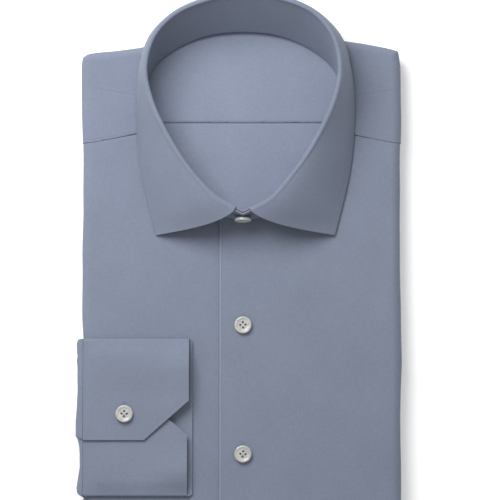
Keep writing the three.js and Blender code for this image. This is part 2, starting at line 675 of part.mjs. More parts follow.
// The sleeve end: a flattened tube from the cuff round the left edge and in between the layers
function buildSleeve() {
  const path = SLEEVE_PATH.map((row) => new THREE.Vector3(row.x, row.wave, row.z));
  const curve = new THREE.CatmullRomCurve3(path);
  const stations = curve.getPoints(SLEEVE_STEPS);
  const halfLength = (CUFF_TOP_Y - CUFF_BOTTOM_Y) / 2;
  const middleY = (CUFF_TOP_Y + CUFF_BOTTOM_Y) / 2;
  const loop = (thin) => {
    const halfThick = SLEEVE_THICKNESS / 2 - thin;
    const reach = halfLength - thin - halfThick;
    const points = [];
    for (let i = 0; i <= SLEEVE_WIDTH_STEPS; i += 1) {
      points.push([THREE.MathUtils.lerp(-reach, reach, i / SLEEVE_WIDTH_STEPS), halfThick]);
    }
    points.push([reach + halfThick, 0]);
    for (let i = 0; i <= SLEEVE_WIDTH_STEPS; i += 1) {
      points.push([THREE.MathUtils.lerp(reach, -reach, i / SLEEVE_WIDTH_STEPS), -halfThick]);
    }
    points.push([-reach - halfThick, 0]);
    return points;
  };
  const placed = (along, off, k) => {
    const y = middleY + along;
    const station = stations[k];
    const before = stations[Math.max(k - 1, 0)];
    const after = stations[Math.min(k + 1, stations.length - 1)];
    const turn = new THREE.Vector2(after.x - before.x, after.z - before.z).normalize();
    if (k === 0) turn.set(-1, 0);
    const out = readTable(SLEEVE_WAVES, 'y', 'out', y) - SLEEVE_PLAIN_OUT;
    return new THREE.Vector3(station.x + turn.y * off - station.y * out, y, station.z - turn.x * off);
  };
  const sheets = [0, SLEEVE_WALL].map((thin) => (
    loop(thin).map(([along, off]) => stations.map((_, k) => placed(along, off, k)))
  ));
  return closedWall(sheets[0], sheets[1], true);
}

// A four-hole button with a raised rim, facing +Z, its back at z = 0
function buildButton() {
  const profile = BUTTON_SECTION.map((row) => new THREE.Vector2(row.radius, row.height));
  const body = new THREE.LatheGeometry(profile, BUTTON_SIDES).rotateX(Math.PI / 2);
  let solid = toSolid(body);
  if (solid.volume() < 0) throw new Error('button is inside out');
  for (const [x, y] of [[1, 0], [0, 1], [-1, 0], [0, -1]]) {
    const radius = BUTTON_HOLE_RADIUS;
    const hole = new THREE.CylinderGeometry(radius, radius, 2 * BUTTON_THICKNESS, BUTTON_HOLE_SIDES);
    hole.rotateX(Math.PI / 2);
    hole.translate(x * BUTTON_HOLE_OFFSET, y * BUTTON_HOLE_OFFSET, BUTTON_THICKNESS / 2);
    solid = solid.subtract(toSolid(hole));
  }
  return fromSolid(solid);
}

const shirt = new THREE.Group();
shirt.position.set(-CENTRE_X, -CENTRE_Y, 0);

function addPiece(name, geometry, material) {
  const mesh = new THREE.Mesh(geometry, material);
  mesh.name = name;
  shirt.add(mesh);
  return mesh;
}

addPiece('folded_layers', buildLayers(), cloth);
addPiece('back_panel', buildBack(), insideCloth);
addPiece('yoke', buildYoke(), cloth);
addPiece('front_right', buildFront(-1), cloth);
addPiece('front_left', buildFront(1), cloth);
addPiece('collar_band', buildBand(), collarCloth);
addPiece('collar_leaf', buildLeaf(), collarCloth);
addPiece('sleeve', buildSleeve(), cloth);
addPiece('cuff', buildCuff(), cloth);

const button = buildButton();
for (let i = 0; i < 3; i += 1) {
  const placed = addPiece(`button_front_${i + 1}`, button, shell);
  placed.position.set(0, FIRST_BUTTON_Y - i * BUTTON_SPACING, FRONT_TOP + LAP_RISE + GAP);
}
const cuffButton = addPiece('button_cuff', button, shell);
cuffButton.position.set(CUFF_BUTTON_X, CUFF_BUTTON_Y, FRONT_TOP + 2 * GAP + 3 * CUFF_CLOTH + 2 * CUFF_GAP);

const bandFront = bandPoint(1, COLLAR_BUTTON_UP, true);
const bandUp = bandPoint(1, 1, true).sub(bandPoint(1, 0, true)).normalize();
const bandFacing = new THREE.Vector3(1, 0, 0).cross(bandUp);
bandFacing.multiplyScalar(bandFacing.y > 0 ? -1 : 1);
const collarButton = addPiece('button_collar', button, shell);
collarButton.position.copy(bandFront.addScaledVector(bandFacing, GAP));
collarButton.quaternion.setFromUnitVectors(new THREE.Vector3(0, 0, 1), bandFacing);

export default shirt;
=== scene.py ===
# Long sleeve dress shirt, folded face up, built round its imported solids.
# Sizes in the tables are millimetres from the front button line and the centre front neck.
import math

import bmesh
import bpy
from mathutils import Matrix, Vector, noise
from mathutils.geometry import interpolate_bezier


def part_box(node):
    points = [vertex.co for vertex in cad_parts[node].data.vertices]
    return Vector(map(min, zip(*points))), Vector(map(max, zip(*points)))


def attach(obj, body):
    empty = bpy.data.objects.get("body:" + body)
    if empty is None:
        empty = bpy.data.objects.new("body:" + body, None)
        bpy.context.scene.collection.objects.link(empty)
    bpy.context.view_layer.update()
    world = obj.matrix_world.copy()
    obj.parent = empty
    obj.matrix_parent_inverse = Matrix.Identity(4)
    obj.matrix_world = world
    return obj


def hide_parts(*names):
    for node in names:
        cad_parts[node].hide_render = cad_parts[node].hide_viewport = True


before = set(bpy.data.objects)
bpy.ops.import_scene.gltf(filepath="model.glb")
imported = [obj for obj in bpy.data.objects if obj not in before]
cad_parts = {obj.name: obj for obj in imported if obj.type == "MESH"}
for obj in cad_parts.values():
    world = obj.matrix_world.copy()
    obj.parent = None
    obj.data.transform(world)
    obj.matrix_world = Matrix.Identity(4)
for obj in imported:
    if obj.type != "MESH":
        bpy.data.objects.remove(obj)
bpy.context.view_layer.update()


# Camera: almost straight above the shirt, on the side of its bottom fold, so that
# the standing collar shows its inside and the collar button is nearly edge-on.
MM = 0.001
FIRST_BUTTON_Y = -64.4
button_low, button_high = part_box("button_front_1")
BUTTON_LINE_X = (button_low.x + button_high.x) / 2
NECK_Y = (button_low.y + button_high.y) / 2 - FIRST_BUTTON_Y * MM
FRONT_TOP = 20.0


def at(x, y, z):
    """A point of the shirt in metres, from millimetres off the button line and the neck."""
    return Vector((BUTTON_LINE_X + x * MM, NECK_Y + y * MM, z * MM))


PHOTO_WIDTH = 0.330
CAMERA_DISTANCE = 2.2
CAMERA_TILT = math.radians(6)
camera_data = bpy.data.cameras.new("camera")
camera_data.sensor_width = 36
camera_data.lens = camera_data.sensor_width * CAMERA_DISTANCE / PHOTO_WIDTH
camera_data.clip_end = 20
camera = bpy.data.objects.new("camera", camera_data)
bpy.context.collection.objects.link(camera)
aim = at(4.6, -14.5, FRONT_TOP)
camera.location = aim + CAMERA_DISTANCE * Vector((0, -math.sin(CAMERA_TILT), math.cos(CAMERA_TILT)))
camera.rotation_euler = (CAMERA_TILT, 0, 0)
bpy.context.scene.camera = camera


# Floor and light: a white paper floor, lit a little from below, a large soft lamp near
# the shirt's upper left, and an even white room for the rest.
floor_mesh = bmesh.new()
bmesh.ops.create_grid(floor_mesh, x_segments=1, y_segments=1, size=6)
floor_data = bpy.data.meshes.new("floor")
floor_mesh.to_mesh(floor_data)
floor_mesh.free()
floor = bpy.data.objects.new("floor", floor_data)
bpy.context.collection.objects.link(floor)
floor_paper = bpy.data.materials.new("floor_paper")
floor_paper.use_nodes = True
paper = floor_paper.node_tree.nodes["Principled BSDF"]
paper.inputs["Base Color"].default_value = (0.93, 0.93, 0.93, 1)
paper.inputs["Roughness"].default_value = 0.9
paper.inputs["Emission Color"].default_value = (1, 1, 1, 1)
paper.inputs["Emission Strength"].default_value = 0.22
floor_data.materials.append(floor_paper)

bpy.context.scene.view_settings.view_transform = "Standard"
room = bpy.data.worlds.new("room")
bpy.context.scene.world = room
room.use_nodes = True
room.node_tree.nodes["Background"].inputs["Color"].default_value = (1, 1, 1, 1)
room.node_tree.nodes["Background"].inputs["Strength"].default_value = 0.56

lamp_data = bpy.data.lights.new("lamp", "AREA")
lamp_data.shape = "DISK"
lamp_data.size = 0.5
lamp_data.energy = 5.6
lamp = bpy.data.objects.new("lamp", lamp_data)
bpy.context.collection.objects.link(lamp)
lamp.location = at(-245, 350, 590)
lamp.rotation_euler = (aim - lamp.location).to_track_quat("-Z", "Y").to_euler()


# Hidden layers: the folded sides, the other sleeve and the tail under the back,
# three soft folds of the shirt's own cloth, pressed flat and seen only at the edges.
FOLD_RADIUS = 6.0
BOTTOM_FOLD_Y = -259.0
CORNER_RADIUS = 8.0
# side edges of the folded body, from the shoulder to the bottom fold: y, left x, right x
SIDE_EDGES = [
    (112, -107.3, 104.1),
    (76, -106.5, 104.9),
    (48, -106.0, 104.1),
    (12, -105.7, 103.8),
    (-14, -106.4, 103.8),
    (-60, -106.2, 104.3),
    (-88, -104.2, 104.6),
    (-125, -104.2, 103.6),
    (-165, -104.2, 103.9),
    (-195, -105.6, 103.8),
    (-259, -105.6, 103.4),
]
# shoulder edge from the side to the centre back: x out from the button line, left y, right y
SHOULDER_EDGE = [
    (106.2, 114.4, 116.2),
    (102.4, 117.0, 119.0),
    (84, 119.0, 123.2),
    (65, 122.0, 126.0),
    (50, 126.5, 129.4),
    (34, 132.2, 133.2),
    (17, 135.6, 135.8),
    (0, 136.6, 136.6),
]
SHOULDER_IN = 0.7
SHOULDER_SIDE_Y = 109
TURN_REACH = 7.0


def smooth(low, high, value):
    """A soft step from 0 at low to 1 at high."""
    share = min(max((value - low) / (high - low), 0), 1)
    return share * share * (3 - 2 * share)


def read_table(rows, value, column):
    """The column of a table whose first column rises or falls, read between its rows."""
    ordered = sorted(rows)
    if value <= ordered[0][0]:
        return ordered[0][column]
    for before, after in zip(ordered, ordered[1:]):
        if value <= after[0]:
            share = (value - before[0]) / (after[0] - before[0])
            return before[column] + share * (after[column] - before[column])
    return ordered[-1][column]


def soft_line(points, steps=8):
    """A smooth line through points, with some steps between each two."""
    line = []
    last = len(points) - 1
    for i in range(last):
        before = points[max(i - 1, 0)]
        after = points[min(i + 2, last)]
        third = (points[i + 1] - points[i]).length / 3
        start_handle = points[i] + (points[i + 1] - before).normalized() * third
        end_handle = points[i + 1] - (after - points[i]).normalized() * third
        line += interpolate_bezier(points[i], start_handle, end_handle, points[i + 1], steps + 1)[:-1]
    return line + [points[last]]


class Route:
    """A line of points that is read by the share of its length."""

    def __init__(self, points):
        self.points = points
        self.lengths = [0.0]
        for before, after in zip(points, points[1:]):
            self.lengths.append(self.lengths[-1] + (after - before).length)
        self.length = self.lengths[-1]

    def point(self, share):
        goal = min(max(share, 0), 1) * self.length
        low, high = 0, len(self.points) - 1
        while high - low > 1:
            middle = (low + high) // 2
            low, high = (middle, high) if self.lengths[middle] <= goal else (low, middle)
        step = self.lengths[high] - self.lengths[low]
        return self.points[low].lerp(self.points[high], (goal - self.lengths[low]) / max(step, 1e-9))

    def along(self, share, reach):
        step = self.point(share + reach / self.length) - self.point(share - reach / self.length)
        return step.normalized()

    def left(self, share, reach=TURN_REACH):
        """The plan direction on the left of the line, which is outside on a clockwise one,
        turning slowly at corners."""
        step = self.along(share, reach)
        return Vector((-step.y, step.x, 0)).normalized()


def side_line(side, from_y, to_y):
    column = 1 if side < 0 else 2
    heights = [y for y in range(-250, 112, 6) if min(from_y, to_y) < y < max(from_y, to_y)]
    heights = sorted([from_y, *heights, to_y], reverse=from_y > to_y)
    return [Vector((read_table(SIDE_EDGES, y, column), y, 0)) for y in heights]


def shoulder_line(side):
    column = 1 if side < 0 else 2
    points = [Vector((side * row[0], row[column], 0)) for row in SHOULDER_EDGE]
    points[0].x = read_table(SIDE_EDGES, points[0].y, column) - side * SHOULDER_IN
    return soft_line(points)


def bottom_corner(side):
    edge = read_table(SIDE_EDGES, BOTTOM_FOLD_Y, 1 if side < 0 else 2)
    centre = Vector((edge - side * CORNER_RADIUS, BOTTOM_FOLD_Y + CORNER_RADIUS, 0))
    turns = [math.radians(angle) for angle in range(0, 91, 10)]
    return [centre + CORNER_RADIUS * Vector((side * math.cos(t), -math.sin(t), 0)) for t in turns]


def upper_outline(from_y):
    left = side_line(-1, from_y, SHOULDER_SIDE_Y) + shoulder_line(-1)
    right = side_line(1, from_y, SHOULDER_SIDE_Y) + shoulder_line(1)[:-1]
    return left + right[::-1]


def new_piece(name, mesh, material):
    """An object at the origin from a bmesh, smooth shaded, with one material."""
    data = bpy.data.meshes.new(name)
    mesh.to_mesh(data)
    mesh.free()
    data.shade_smooth()
    data.materials.append(material)
    piece = bpy.data.objects.new(name, data)
    bpy.context.collection.objects.link(piece)
    return piece


def shaped_grid(across, along, place, pattern, closed=False):
    """A grid laid on a form. place and pattern take the shares across and along (0 to 1)
    and give the point, in millimetres, and the cloth's own flat coordinates."""
    mesh = bmesh.new()
    bmesh.ops.create_grid(mesh, x_segments=across, y_segments=along, size=0.5, calc_uvs=False)
    flat = mesh.loops.layers.uv.new("cloth")
    shares = {vert: (vert.co.x + 0.5, vert.co.y + 0.5) for vert in mesh.verts}
    for face in mesh.faces:
        for loop in face.loops:
            u, v = shares[loop.vert]
            loop[flat].uv = [size * MM for size in pattern(u, v)]
    for vert, (u, v) in shares.items():
        vert.co = at(*place(u, v))
    if closed:
        bmesh.ops.remove_doubles(mesh, verts=mesh.verts, dist=1e-6)
    return mesh


THREAD_PITCH = 0.36
WEAVE_WAVES = 2 * math.pi / (THREAD_PITCH * MM) / 20
EDGE_HIGHLIGHT_HALF_WIDTH = 0.35
EDGE_HIGHLIGHT_PALER = 1.26


def cloth_material(name, colour, highlight_at=None):
    """Fine plain weave: a close grid of threads in relief, faint slubs and soft mottling.
    Along one line of the pattern a paler strip is painted in: a painted highlight where a turned edge would
    catch the light."""
    material = bpy.data.materials.new(name)
    material.use_nodes = True
    tree = material.node_tree
    nodes, links = tree.nodes, tree.links
    surface = nodes["Principled BSDF"]
    surface.inputs["Roughness"].default_value = 0.85
    surface.inputs["Specular IOR Level"].default_value = 0.18
    surface.inputs["Sheen Weight"].default_value = 0.10
    surface.inputs["Sheen Roughness"].default_value = 0.45
    surface.inputs["Sheen Tint"].default_value = (0.94, 0.93, 1.0, 1)
    uv = nodes.new("ShaderNodeUVMap")
    uv.uv_map = "cloth"

    def mottle(across_pitch, along_pitch, detail):
        mapping = nodes.new("ShaderNodeMapping")
        mapping.inputs["Scale"].default_value = (1 / (across_pitch * MM), 1 / (along_pitch * MM), 1)
        texture = nodes.new("ShaderNodeTexNoise")
        texture.noise_dimensions = "2D"
        texture.inputs["Scale"].default_value = 1.0
        texture.inputs["Detail"].default_value = detail
        links.new(uv.outputs["UV"], mapping.inputs["Vector"])
        links.new(mapping.outputs["Vector"], texture.inputs["Vector"])
        return texture.outputs["Fac"]

    def add(first, second):
        node = nodes.new("ShaderNodeMath")
        node.operation = "ADD"
        links.new(first, node.inputs[0])
        links.new(second, node.inputs[1])
        return node.outputs["Value"]

    def threads(axis):
        wave = nodes.new("ShaderNodeTexWave")
        wave.bands_direction = axis
        wave.inputs["Scale"].default_value = WEAVE_WAVES
        links.new(uv.outputs["UV"], wave.inputs["Vector"])
        return wave.outputs["Fac"]

    warp_slubs = mottle(0.8, 5.5, 1)
    weft_slubs = mottle(5.0, 0.8, 1)
    tone = add(add(mottle(1.3, 1.3, 2), mottle(28, 34, 2)), add(warp_slubs, weft_slubs))
    ramp = nodes.new("ShaderNodeMapRange")
    ramp.inputs["From Min"].default_value = 1.4
    ramp.inputs["From Max"].default_value = 2.6
    links.new(tone, ramp.inputs["Value"])
    mix = nodes.new("ShaderNodeMix")
    mix.data_type = "RGBA"
    mix.inputs["A"].default_value = (*[channel * 0.93 for channel in colour], 1)
    mix.inputs["B"].default_value = (*[channel * 1.07 for channel in colour], 1)
    links.new(ramp.outputs["Result"], mix.inputs["Factor"])
    links.new(mix.outputs["Result"], surface.inputs["Base Color"])
    # a paler strip along one line of the pattern: a painted highlight, not a colour of the cloth
    if highlight_at is not None:
        across = nodes.new("ShaderNodeSeparateXYZ")
        links.new(uv.outputs["UV"], across.inputs["Vector"])
        ridge = nodes.new("ShaderNodeMath")
        ridge.operation = "COMPARE"
        ridge.inputs[1].default_value = highlight_at * MM
        ridge.inputs[2].default_value = EDGE_HIGHLIGHT_HALF_WIDTH * MM
        links.new(across.outputs["X"], ridge.inputs[0])
        painted_highlight = nodes.new("ShaderNodeMix")
        painted_highlight.data_type = "RGBA"
        painted_highlight.inputs["B"].default_value = (*[channel * EDGE_HIGHLIGHT_PALER for channel in colour], 1)
        links.new(ridge.outputs["Value"], painted_highlight.inputs["Factor"])
        links.new(mix.outputs["Result"], painted_highlight.inputs["A"])
        links.new(painted_highlight.outputs["Result"], surface.inputs["Base Color"])
    weave = add(add(threads("X"), threads("Y")), add(warp_slubs, weft_slubs))
    bump = nodes.new("ShaderNodeBump")
    bump.inputs["Strength"].default_value = 0.3
    bump.inputs["Distance"].default_value = 0.00008
    links.new(weave, bump.inputs["Height"])
    links.new(bump.outputs["Normal"], surface.inputs["Normal"])
    return material


SHIRT_BLUE = (0.180, 0.206, 0.272)
shirt_cloth = cloth_material("shirt_cloth", SHIRT_BLUE)

# one fold of the stack in section: share of its height, and how far its side is set in
FOLD_SECTION = [(0.0, 2.6), (0.1, 1.2), (0.28, 0.35), (0.5, 0.0), (0.72, 0.3), (0.9, 1.1), (1.0, 2.4)]
# the folds from the floor up: underside, top, inset of the side
STACK_FOLDS = [(0.0, 3.3, 0.9), (3.4, 6.4, 1.1), (6.5, 9.5, 1.5)]
STACK_CORE = [(9.5, 3.2), (14.2, 2.6), (16.0, 3.4), (16.8, 4.6)]

body_loop = (
    bottom_corner(-1)[::-1]
    + side_line(-1, BOTTOM_FOLD_Y + CORNER_RADIUS + 1, 56)
    + upper_outline(57)
    + side_line(1, 56, BOTTOM_FOLD_Y + CORNER_RADIUS + 1)
    + bottom_corner(1)
)
body_route = Route(body_loop + [body_loop[0]])
stack_levels = []
for low, high, inset in STACK_FOLDS:
    stack_levels += [(low + (high - low) * share, inset + more) for share, more in FOLD_SECTION]
stack_levels += STACK_CORE


def place_stack(u, v):
    level, inset = stack_levels[round(v * (len(stack_levels) - 1))]
    point = body_route.point(u)
    out = body_route.left(u) if 0.01 < u < 0.99 else Vector((0, -1, 0))
    ripple = 0.35 * noise.noise(Vector((point.x / 23, point.y / 23, round(level / 3.3) * 7.1)))
    point = point - out * (inset - (ripple if level < 9.5 else 0))
    return point.x, point.y, level


stack_mesh = shaped_grid(
    320,
    len(stack_levels) - 1,
    place_stack,
    lambda u, v: (u * body_route.length, 60 * v),
    closed=True,
)
rims = [edge for edge in stack_mesh.edges if edge.is_boundary]
bmesh.ops.edgeloop_fill(stack_mesh, edges=rims)
bmesh.ops.recalc_face_normals(stack_mesh, faces=stack_mesh.faces)
hidden_layers = new_piece("hidden_layers", stack_mesh, shirt_cloth)
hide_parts("folded_layers")
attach(hidden_layers, "root")


# Back, seen inside the neck: one layer of the same cloth, painted lighter as painted light, face down
# under the fronts, its top edge sewn to the yoke and a little proud of the seam.
BACK_TOP = 18.1
BACK_INSET = 6.2
INSIDE_SEAM_Y = 70.5
SEAM_GAP = 0.3
SEAM_ROLL = 0.9
# the cloth inside the neck is painted lighter than the outside: painted light in place of lamp light there
INSIDE_PAINTED_LIGHT = 1.16
INSIDE_UNEVENNESS = 0.08
BACK_THICKNESS = 0.6


def seam_roll(distance, reach=SEAM_ROLL, depth=0.45):
    """How far cloth sinks where it turns into a seam, by its distance from the seam."""
    share = min(max(1 - distance / reach, 0), 1)
    return depth * share * share


def thicken(piece, thickness, offset=-1.0, edge_round=0.0):
    wall = piece.modifiers.new("wall", "SOLIDIFY")
    wall.thickness = thickness * MM
    wall.offset = offset
    wall.use_even_offset = False
    if edge_round:
        bevel = piece.modifiers.new("rounded_edge", "BEVEL")
        bevel.width = edge_round * MM
        bevel.segments = 3
        bevel.limit_method = "ANGLE"
        bevel.angle_limit = math.radians(55)
        bevel.harden_normals = False


back_seam_y = INSIDE_SEAM_Y - SEAM_GAP / 2
back_foot_y = BOTTOM_FOLD_Y + BACK_INSET


def smooth_share(v):
    """Rows closer together near the last one, at the seam."""
    return 1 - (1 - v) ** 2.2


def place_back(u, v):
    y = back_foot_y + (back_seam_y - back_foot_y) * smooth_share(v)
    left = read_table(SIDE_EDGES, y, 1) + BACK_INSET + 0.4
    right = read_table(SIDE_EDGES, y, 2) - BACK_INSET - 0.4
    corner = max(0, back_foot_y + CORNER_RADIUS - y)
    pull = CORNER_RADIUS - math.sqrt(max(CORNER_RADIUS**2 - corner**2, 0))
    x = left + pull + (right - left - 2 * pull) * u
    unevenness = INSIDE_UNEVENNESS * (1 + noise.noise(Vector((x / 19, y / 23, 3.7))))
    return x, y, BACK_TOP - seam_roll(back_seam_y - y) - unevenness


back_mesh = shaped_grid(90, 110, place_back, lambda u, v: place_back(u, v)[:2])
# a lighter copy of the shirt cloth: painted light for the inside of the neck
inside_cloth = cloth_material("inside_cloth", [channel * INSIDE_PAINTED_LIGHT for channel in SHIRT_BLUE])
back_inside = new_piece("back_inside", back_mesh, inside_cloth)
thicken(back_inside, BACK_THICKNESS)
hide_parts("back_panel")
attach(back_inside, "root")


# Fronts: two panels of the cloth, their front edges turned under and pressed, folded over
# the sides and the bottom. The viewer's right one laps over and has the buttonholes.
CLOTH = 1.2
SKIRT = 4.0
SKIRT_TUCK = 0.6
NECK_TO_FOLD = 0.8
LAP_HALF_WIDTH = 15.6
LAP_RISE = 1.5
SEAM_SIDE_Y = 57.0
SEAM_SHARE = 0.572
NECK_LAP_SHARE = 1.072
BAND_THICKNESS = 1.2
# collar half, centre back (share 0) to centre front (1): where the band leaves the neck
# edge (base x, y), its upper edge (fold x, y, z) and the leaf's lower edge (edge x, y, z)
COLLAR = [
    (0.0, (0, 130.4), (0, 149.7, 55.0), (0, 158.0, 10.5)),
    (0.12, (24, 127.8), (23.5, 145.4, 54.8), (25, 153.6, 10.9)),
    (0.24, (45, 119.0), (44.2, 135.9, 54.0), (48, 140.0, 13.0)),
    (0.34, (59, 107.0), (57.4, 121.8, 52.9), (63, 125.0, 21.6)),
    (0.43, (65.8, 90.0), (62.5, 102.5, 51.8), (70, 105.5, 21.8)),
    (0.52, (66.0, 74.0), (58.8, 84.0, 50.6), (72.2, 85.0, 21.6)),
    (0.64, (59.0, 51.0), (48.6, 62.0, 49.6), (71.6, 60.0, 21.6)),
    (0.77, (45.0, 28.0), (33.6, 38.0, 48.6), (68.4, 34.0, 21.2)),
    (0.89, (25.5, 13.2), (17.2, 19.2, 47.6), (62.8, 10.0, 21.2)),
    (1.0, (0, 7.4), (0, 8.6, 46.4), (59.0, -5.0, 21.2)),
]


# how the collar opens past its even half: share; left side out, back; right side out, back
COLLAR_OPENS = [
    (0.0, 0.1, 0.2, 0.3, 0.5),
    (0.12, 0.4, 0.7, 1.0, 1.7),
    (0.24, 0.6, 1.0, 1.6, 2.4),
    (0.34, 0.8, 0.6, 1.1, 1.3),
    (0.43, 1.0, 0.0, 0.5, 0.2),
    (0.52, 1.5, -0.5, 1.0, -0.3),
    (0.64, 1.9, -1.1, 1.5, -1.0),
    (0.77, 1.7, -1.2, 1.5, -1.2),
    (0.89, 0.8, -0.7, 0.8, -0.7),
    (1.0, 0.0, 0.0, 0.0, 0.0),
]
BASE, FOLD, EDGE = 1, 2, 3


class CollarLine:
    """A smooth line round the neck, read by its share from the centre back to the front."""

    def __init__(self, column):
        left, right = ([self.opened(row, column, side) for row in range(len(COLLAR))] for side in (-1, 1))
        self.points = [Vector((-p.x, p.y, p.z)) for p in left[:0:-1]] + right

    def opened(self, row, column, side):
        share, left_out, left_back, right_out, right_back = COLLAR_OPENS[row]
        still = column == BASE or (column == EDGE and share > 0.4)
        opening = Vector((left_out, left_back, 0) if side < 0 else (right_out, right_back, 0))
        return Vector((*COLLAR[row][column], 0)[:3]) + (Vector() if still else opening)

    def point(self, share):
        share = share - 2 * math.copysign(1, share) if abs(share) > 1 else share
        size = abs(share)
        row = max(i for i in range(len(COLLAR) - 1) if COLLAR[i][0] <= size)
        step = (size - COLLAR[row][0]) / (COLLAR[row + 1][0] - COLLAR[row][0])
        place = (len(COLLAR) - 1) + math.copysign(row + step, share)
        i = min(int(place), len(self.points) - 2)
        return self.between(i, place - i)

    def between(self, i, step):
        start, end = self.points[i], self.points[i + 1]
        before = self.points[i - 1] if i else 2 * start - end
        after = self.points[i + 2] if i + 2 < len(self.points) else 2 * end - start
        spans = ((before, start), (start, end), (end, after))
        first, middle, last = (math.sqrt((b - a).length) for a, b in spans)
        leave = (start - before) / first - (end - before) / (first + middle) + (end - start) / middle
        arrive = (end - start) / middle - (after - start) / (middle + last) + (after - end) / last
        cubic = 2 * start - 2 * end + (leave + arrive) * middle
        square = 3 * end - 3 * start - (2 * leave + arrive) * middle
        return start + step * (leave * middle + step * (square + step * cubic))

    def out(self, share):
        along = self.point(share + 0.01) - self.point(share - 0.01)
        return Vector((-along.y, along.x, 0)).normalized()


neck_base = CollarLine(BASE)


def neck_line(from_share, to_share, steps=60):
    shares = [from_share + (to_share - from_share) * i / steps for i in range(steps + 1)]
    points = [neck_base.point(s) + neck_base.out(s) * BAND_THICKNESS / 2 for s in shares]
    return [Vector((p.x, p.y, 0)) for p in points]


LAP_FLAT_X = LAP_HALF_WIDTH + 3.4
LAP_DOWN_X = LAP_HALF_WIDTH + 22.4
LAP_FAR_X = 92.0


def lap_lift(x):
    """How far the viewer's right front is raised where it laps over the other one."""
    return LAP_RISE * (1 - smooth(LAP_FLAT_X, LAP_DOWN_X, abs(x)))


def slow_lap_lift(x, y):
    """The same, but sinking more slowly where no collar stands on it."""
    slow = LAP_RISE * (1 - smooth(LAP_FLAT_X, LAP_FAR_X, abs(x)))
    away = smooth(-6, -40, y)
    return lap_lift(x) + (slow - lap_lift(x)) * away


# soft creases of the fronts: start x, y; end x, y; half width; height (troughs below 0)
FRONT_CREASES = [
    (96, 40, 70, -30, 9, 0.30),
    (99, -20, 88, -120, 7, 0.26),
    (92, -150, 40, -205, 11, 0.28),
    (60, -60, 34, -150, 12, 0.22),
    (78, 14, 60, -40, 10, -0.14),
    (98, -170, 84, -240, 6, 0.26),
    (30, -210, 62, -250, 9, 0.24),
    (52, -12, 30, -58, 9, 0.20),
    (-98, 44, -84, -20, 8, 0.26),
    (-70, 20, -44, -50, 11, 0.22),
    (-92, -20, -60, -66, 10, 0.20),
    (-30, -30, -26, -120, 6, -0.12),
    (-62, -190, -28, -236, 10, 0.24),
    (-96, -190, -80, -244, 7, 0.26),
    (-24, -150, -22, -240, 5, 0.16),
]


def crease_height(x, y, creases):
    """The sum of some soft uneven creases at a place."""
    height = 0.0
    for x0, y0, x1, y1, width, rise in creases:
        along_x, along_y = x1 - x0, y1 - y0
        length = math.hypot(along_x, along_y)
        share = ((x - x0) * along_x + (y - y0) * along_y) / length**2
        if not -0.25 < share < 1.25:
            continue
        wander = 0.5 * width * noise.noise(Vector((share * 2.3, x0 / 9, y0 / 7)))
        off = ((x - x0) * along_y - (y - y0) * along_x) / length + wander
        spread = width * (0.8 + 0.5 * share)
        fade = smooth(-0.25, 0.2, share) * (1 - smooth(0.75, 1.25, share))
        height += rise * fade * math.exp(-((off / spread) ** 2))
    return height


def lay_of_cloth(x, y, seed=0.0):
    """Slow uneven rise of cloth that lies by its own weight."""
    slow = noise.noise(Vector((x / 42, y / 55, seed)))
    quick = noise.noise(Vector((x / 13, y / 17, seed + 5)))
    return 0.16 * slow + 0.05 * quick


def panel_place(inner, outline, top, lift, relief, turn_at=0.8, hem_at=0.94):
    """The place on a body panel: flat from its inner line, with closer rows near it, then
    rounded over the fold, then a short skirt. Gives the point and where it was on the
    flat cloth."""
    inner_route, outer_route = Route(inner), Route(outline)

    def place(u, v):
        out = outer_route.left(v)
        start = inner_route.point(v)
        edge = outer_route.point(v)
        reach = min(FOLD_RADIUS, (edge - start).length - NECK_TO_FOLD)
        flat_end = edge - out * reach
        if u <= turn_at:
            p = start.lerp(flat_end, (u / turn_at) ** 1.5)
            return (p.x, p.y, top + lift(p) + relief(p, (p - start).length)), (p.x, p.y)
        rise = lift(flat_end) + top - FRONT_TOP
        share = min((u - turn_at) / (hem_at - turn_at), 1)
        turn = share * math.pi / 2
        p = flat_end + out * (reach + rise) * math.sin(turn)
        height = FRONT_TOP - FOLD_RADIUS + (FOLD_RADIUS + rise) * math.cos(turn)
        run = (FOLD_RADIUS + rise) * turn
        if u > hem_at:
            down = (u - hem_at) / (1 - hem_at)
            p -= out * SKIRT_TUCK * down
            height -= SKIRT * down
            run += SKIRT * down
        q = flat_end + out * run
        bend = relief(flat_end, (flat_end - start).length) * (1 - share)
        side_wave = 0.35 * share * noise.noise(Vector((p.x / 31, p.y / 27, 9.1)))
        p += out * side_wave
        return (p.x, p.y, height + bend), (q.x, q.y)

    return place


# the turned front edge in section: distance from the edge, height
EDGE_ROLL = [(0.0, -0.5), (0.3, -0.2), (0.6, 0.05), (0.9, 0.16), (1.3, 0.1), (1.8, -0.06), (2.6, 0.0)]


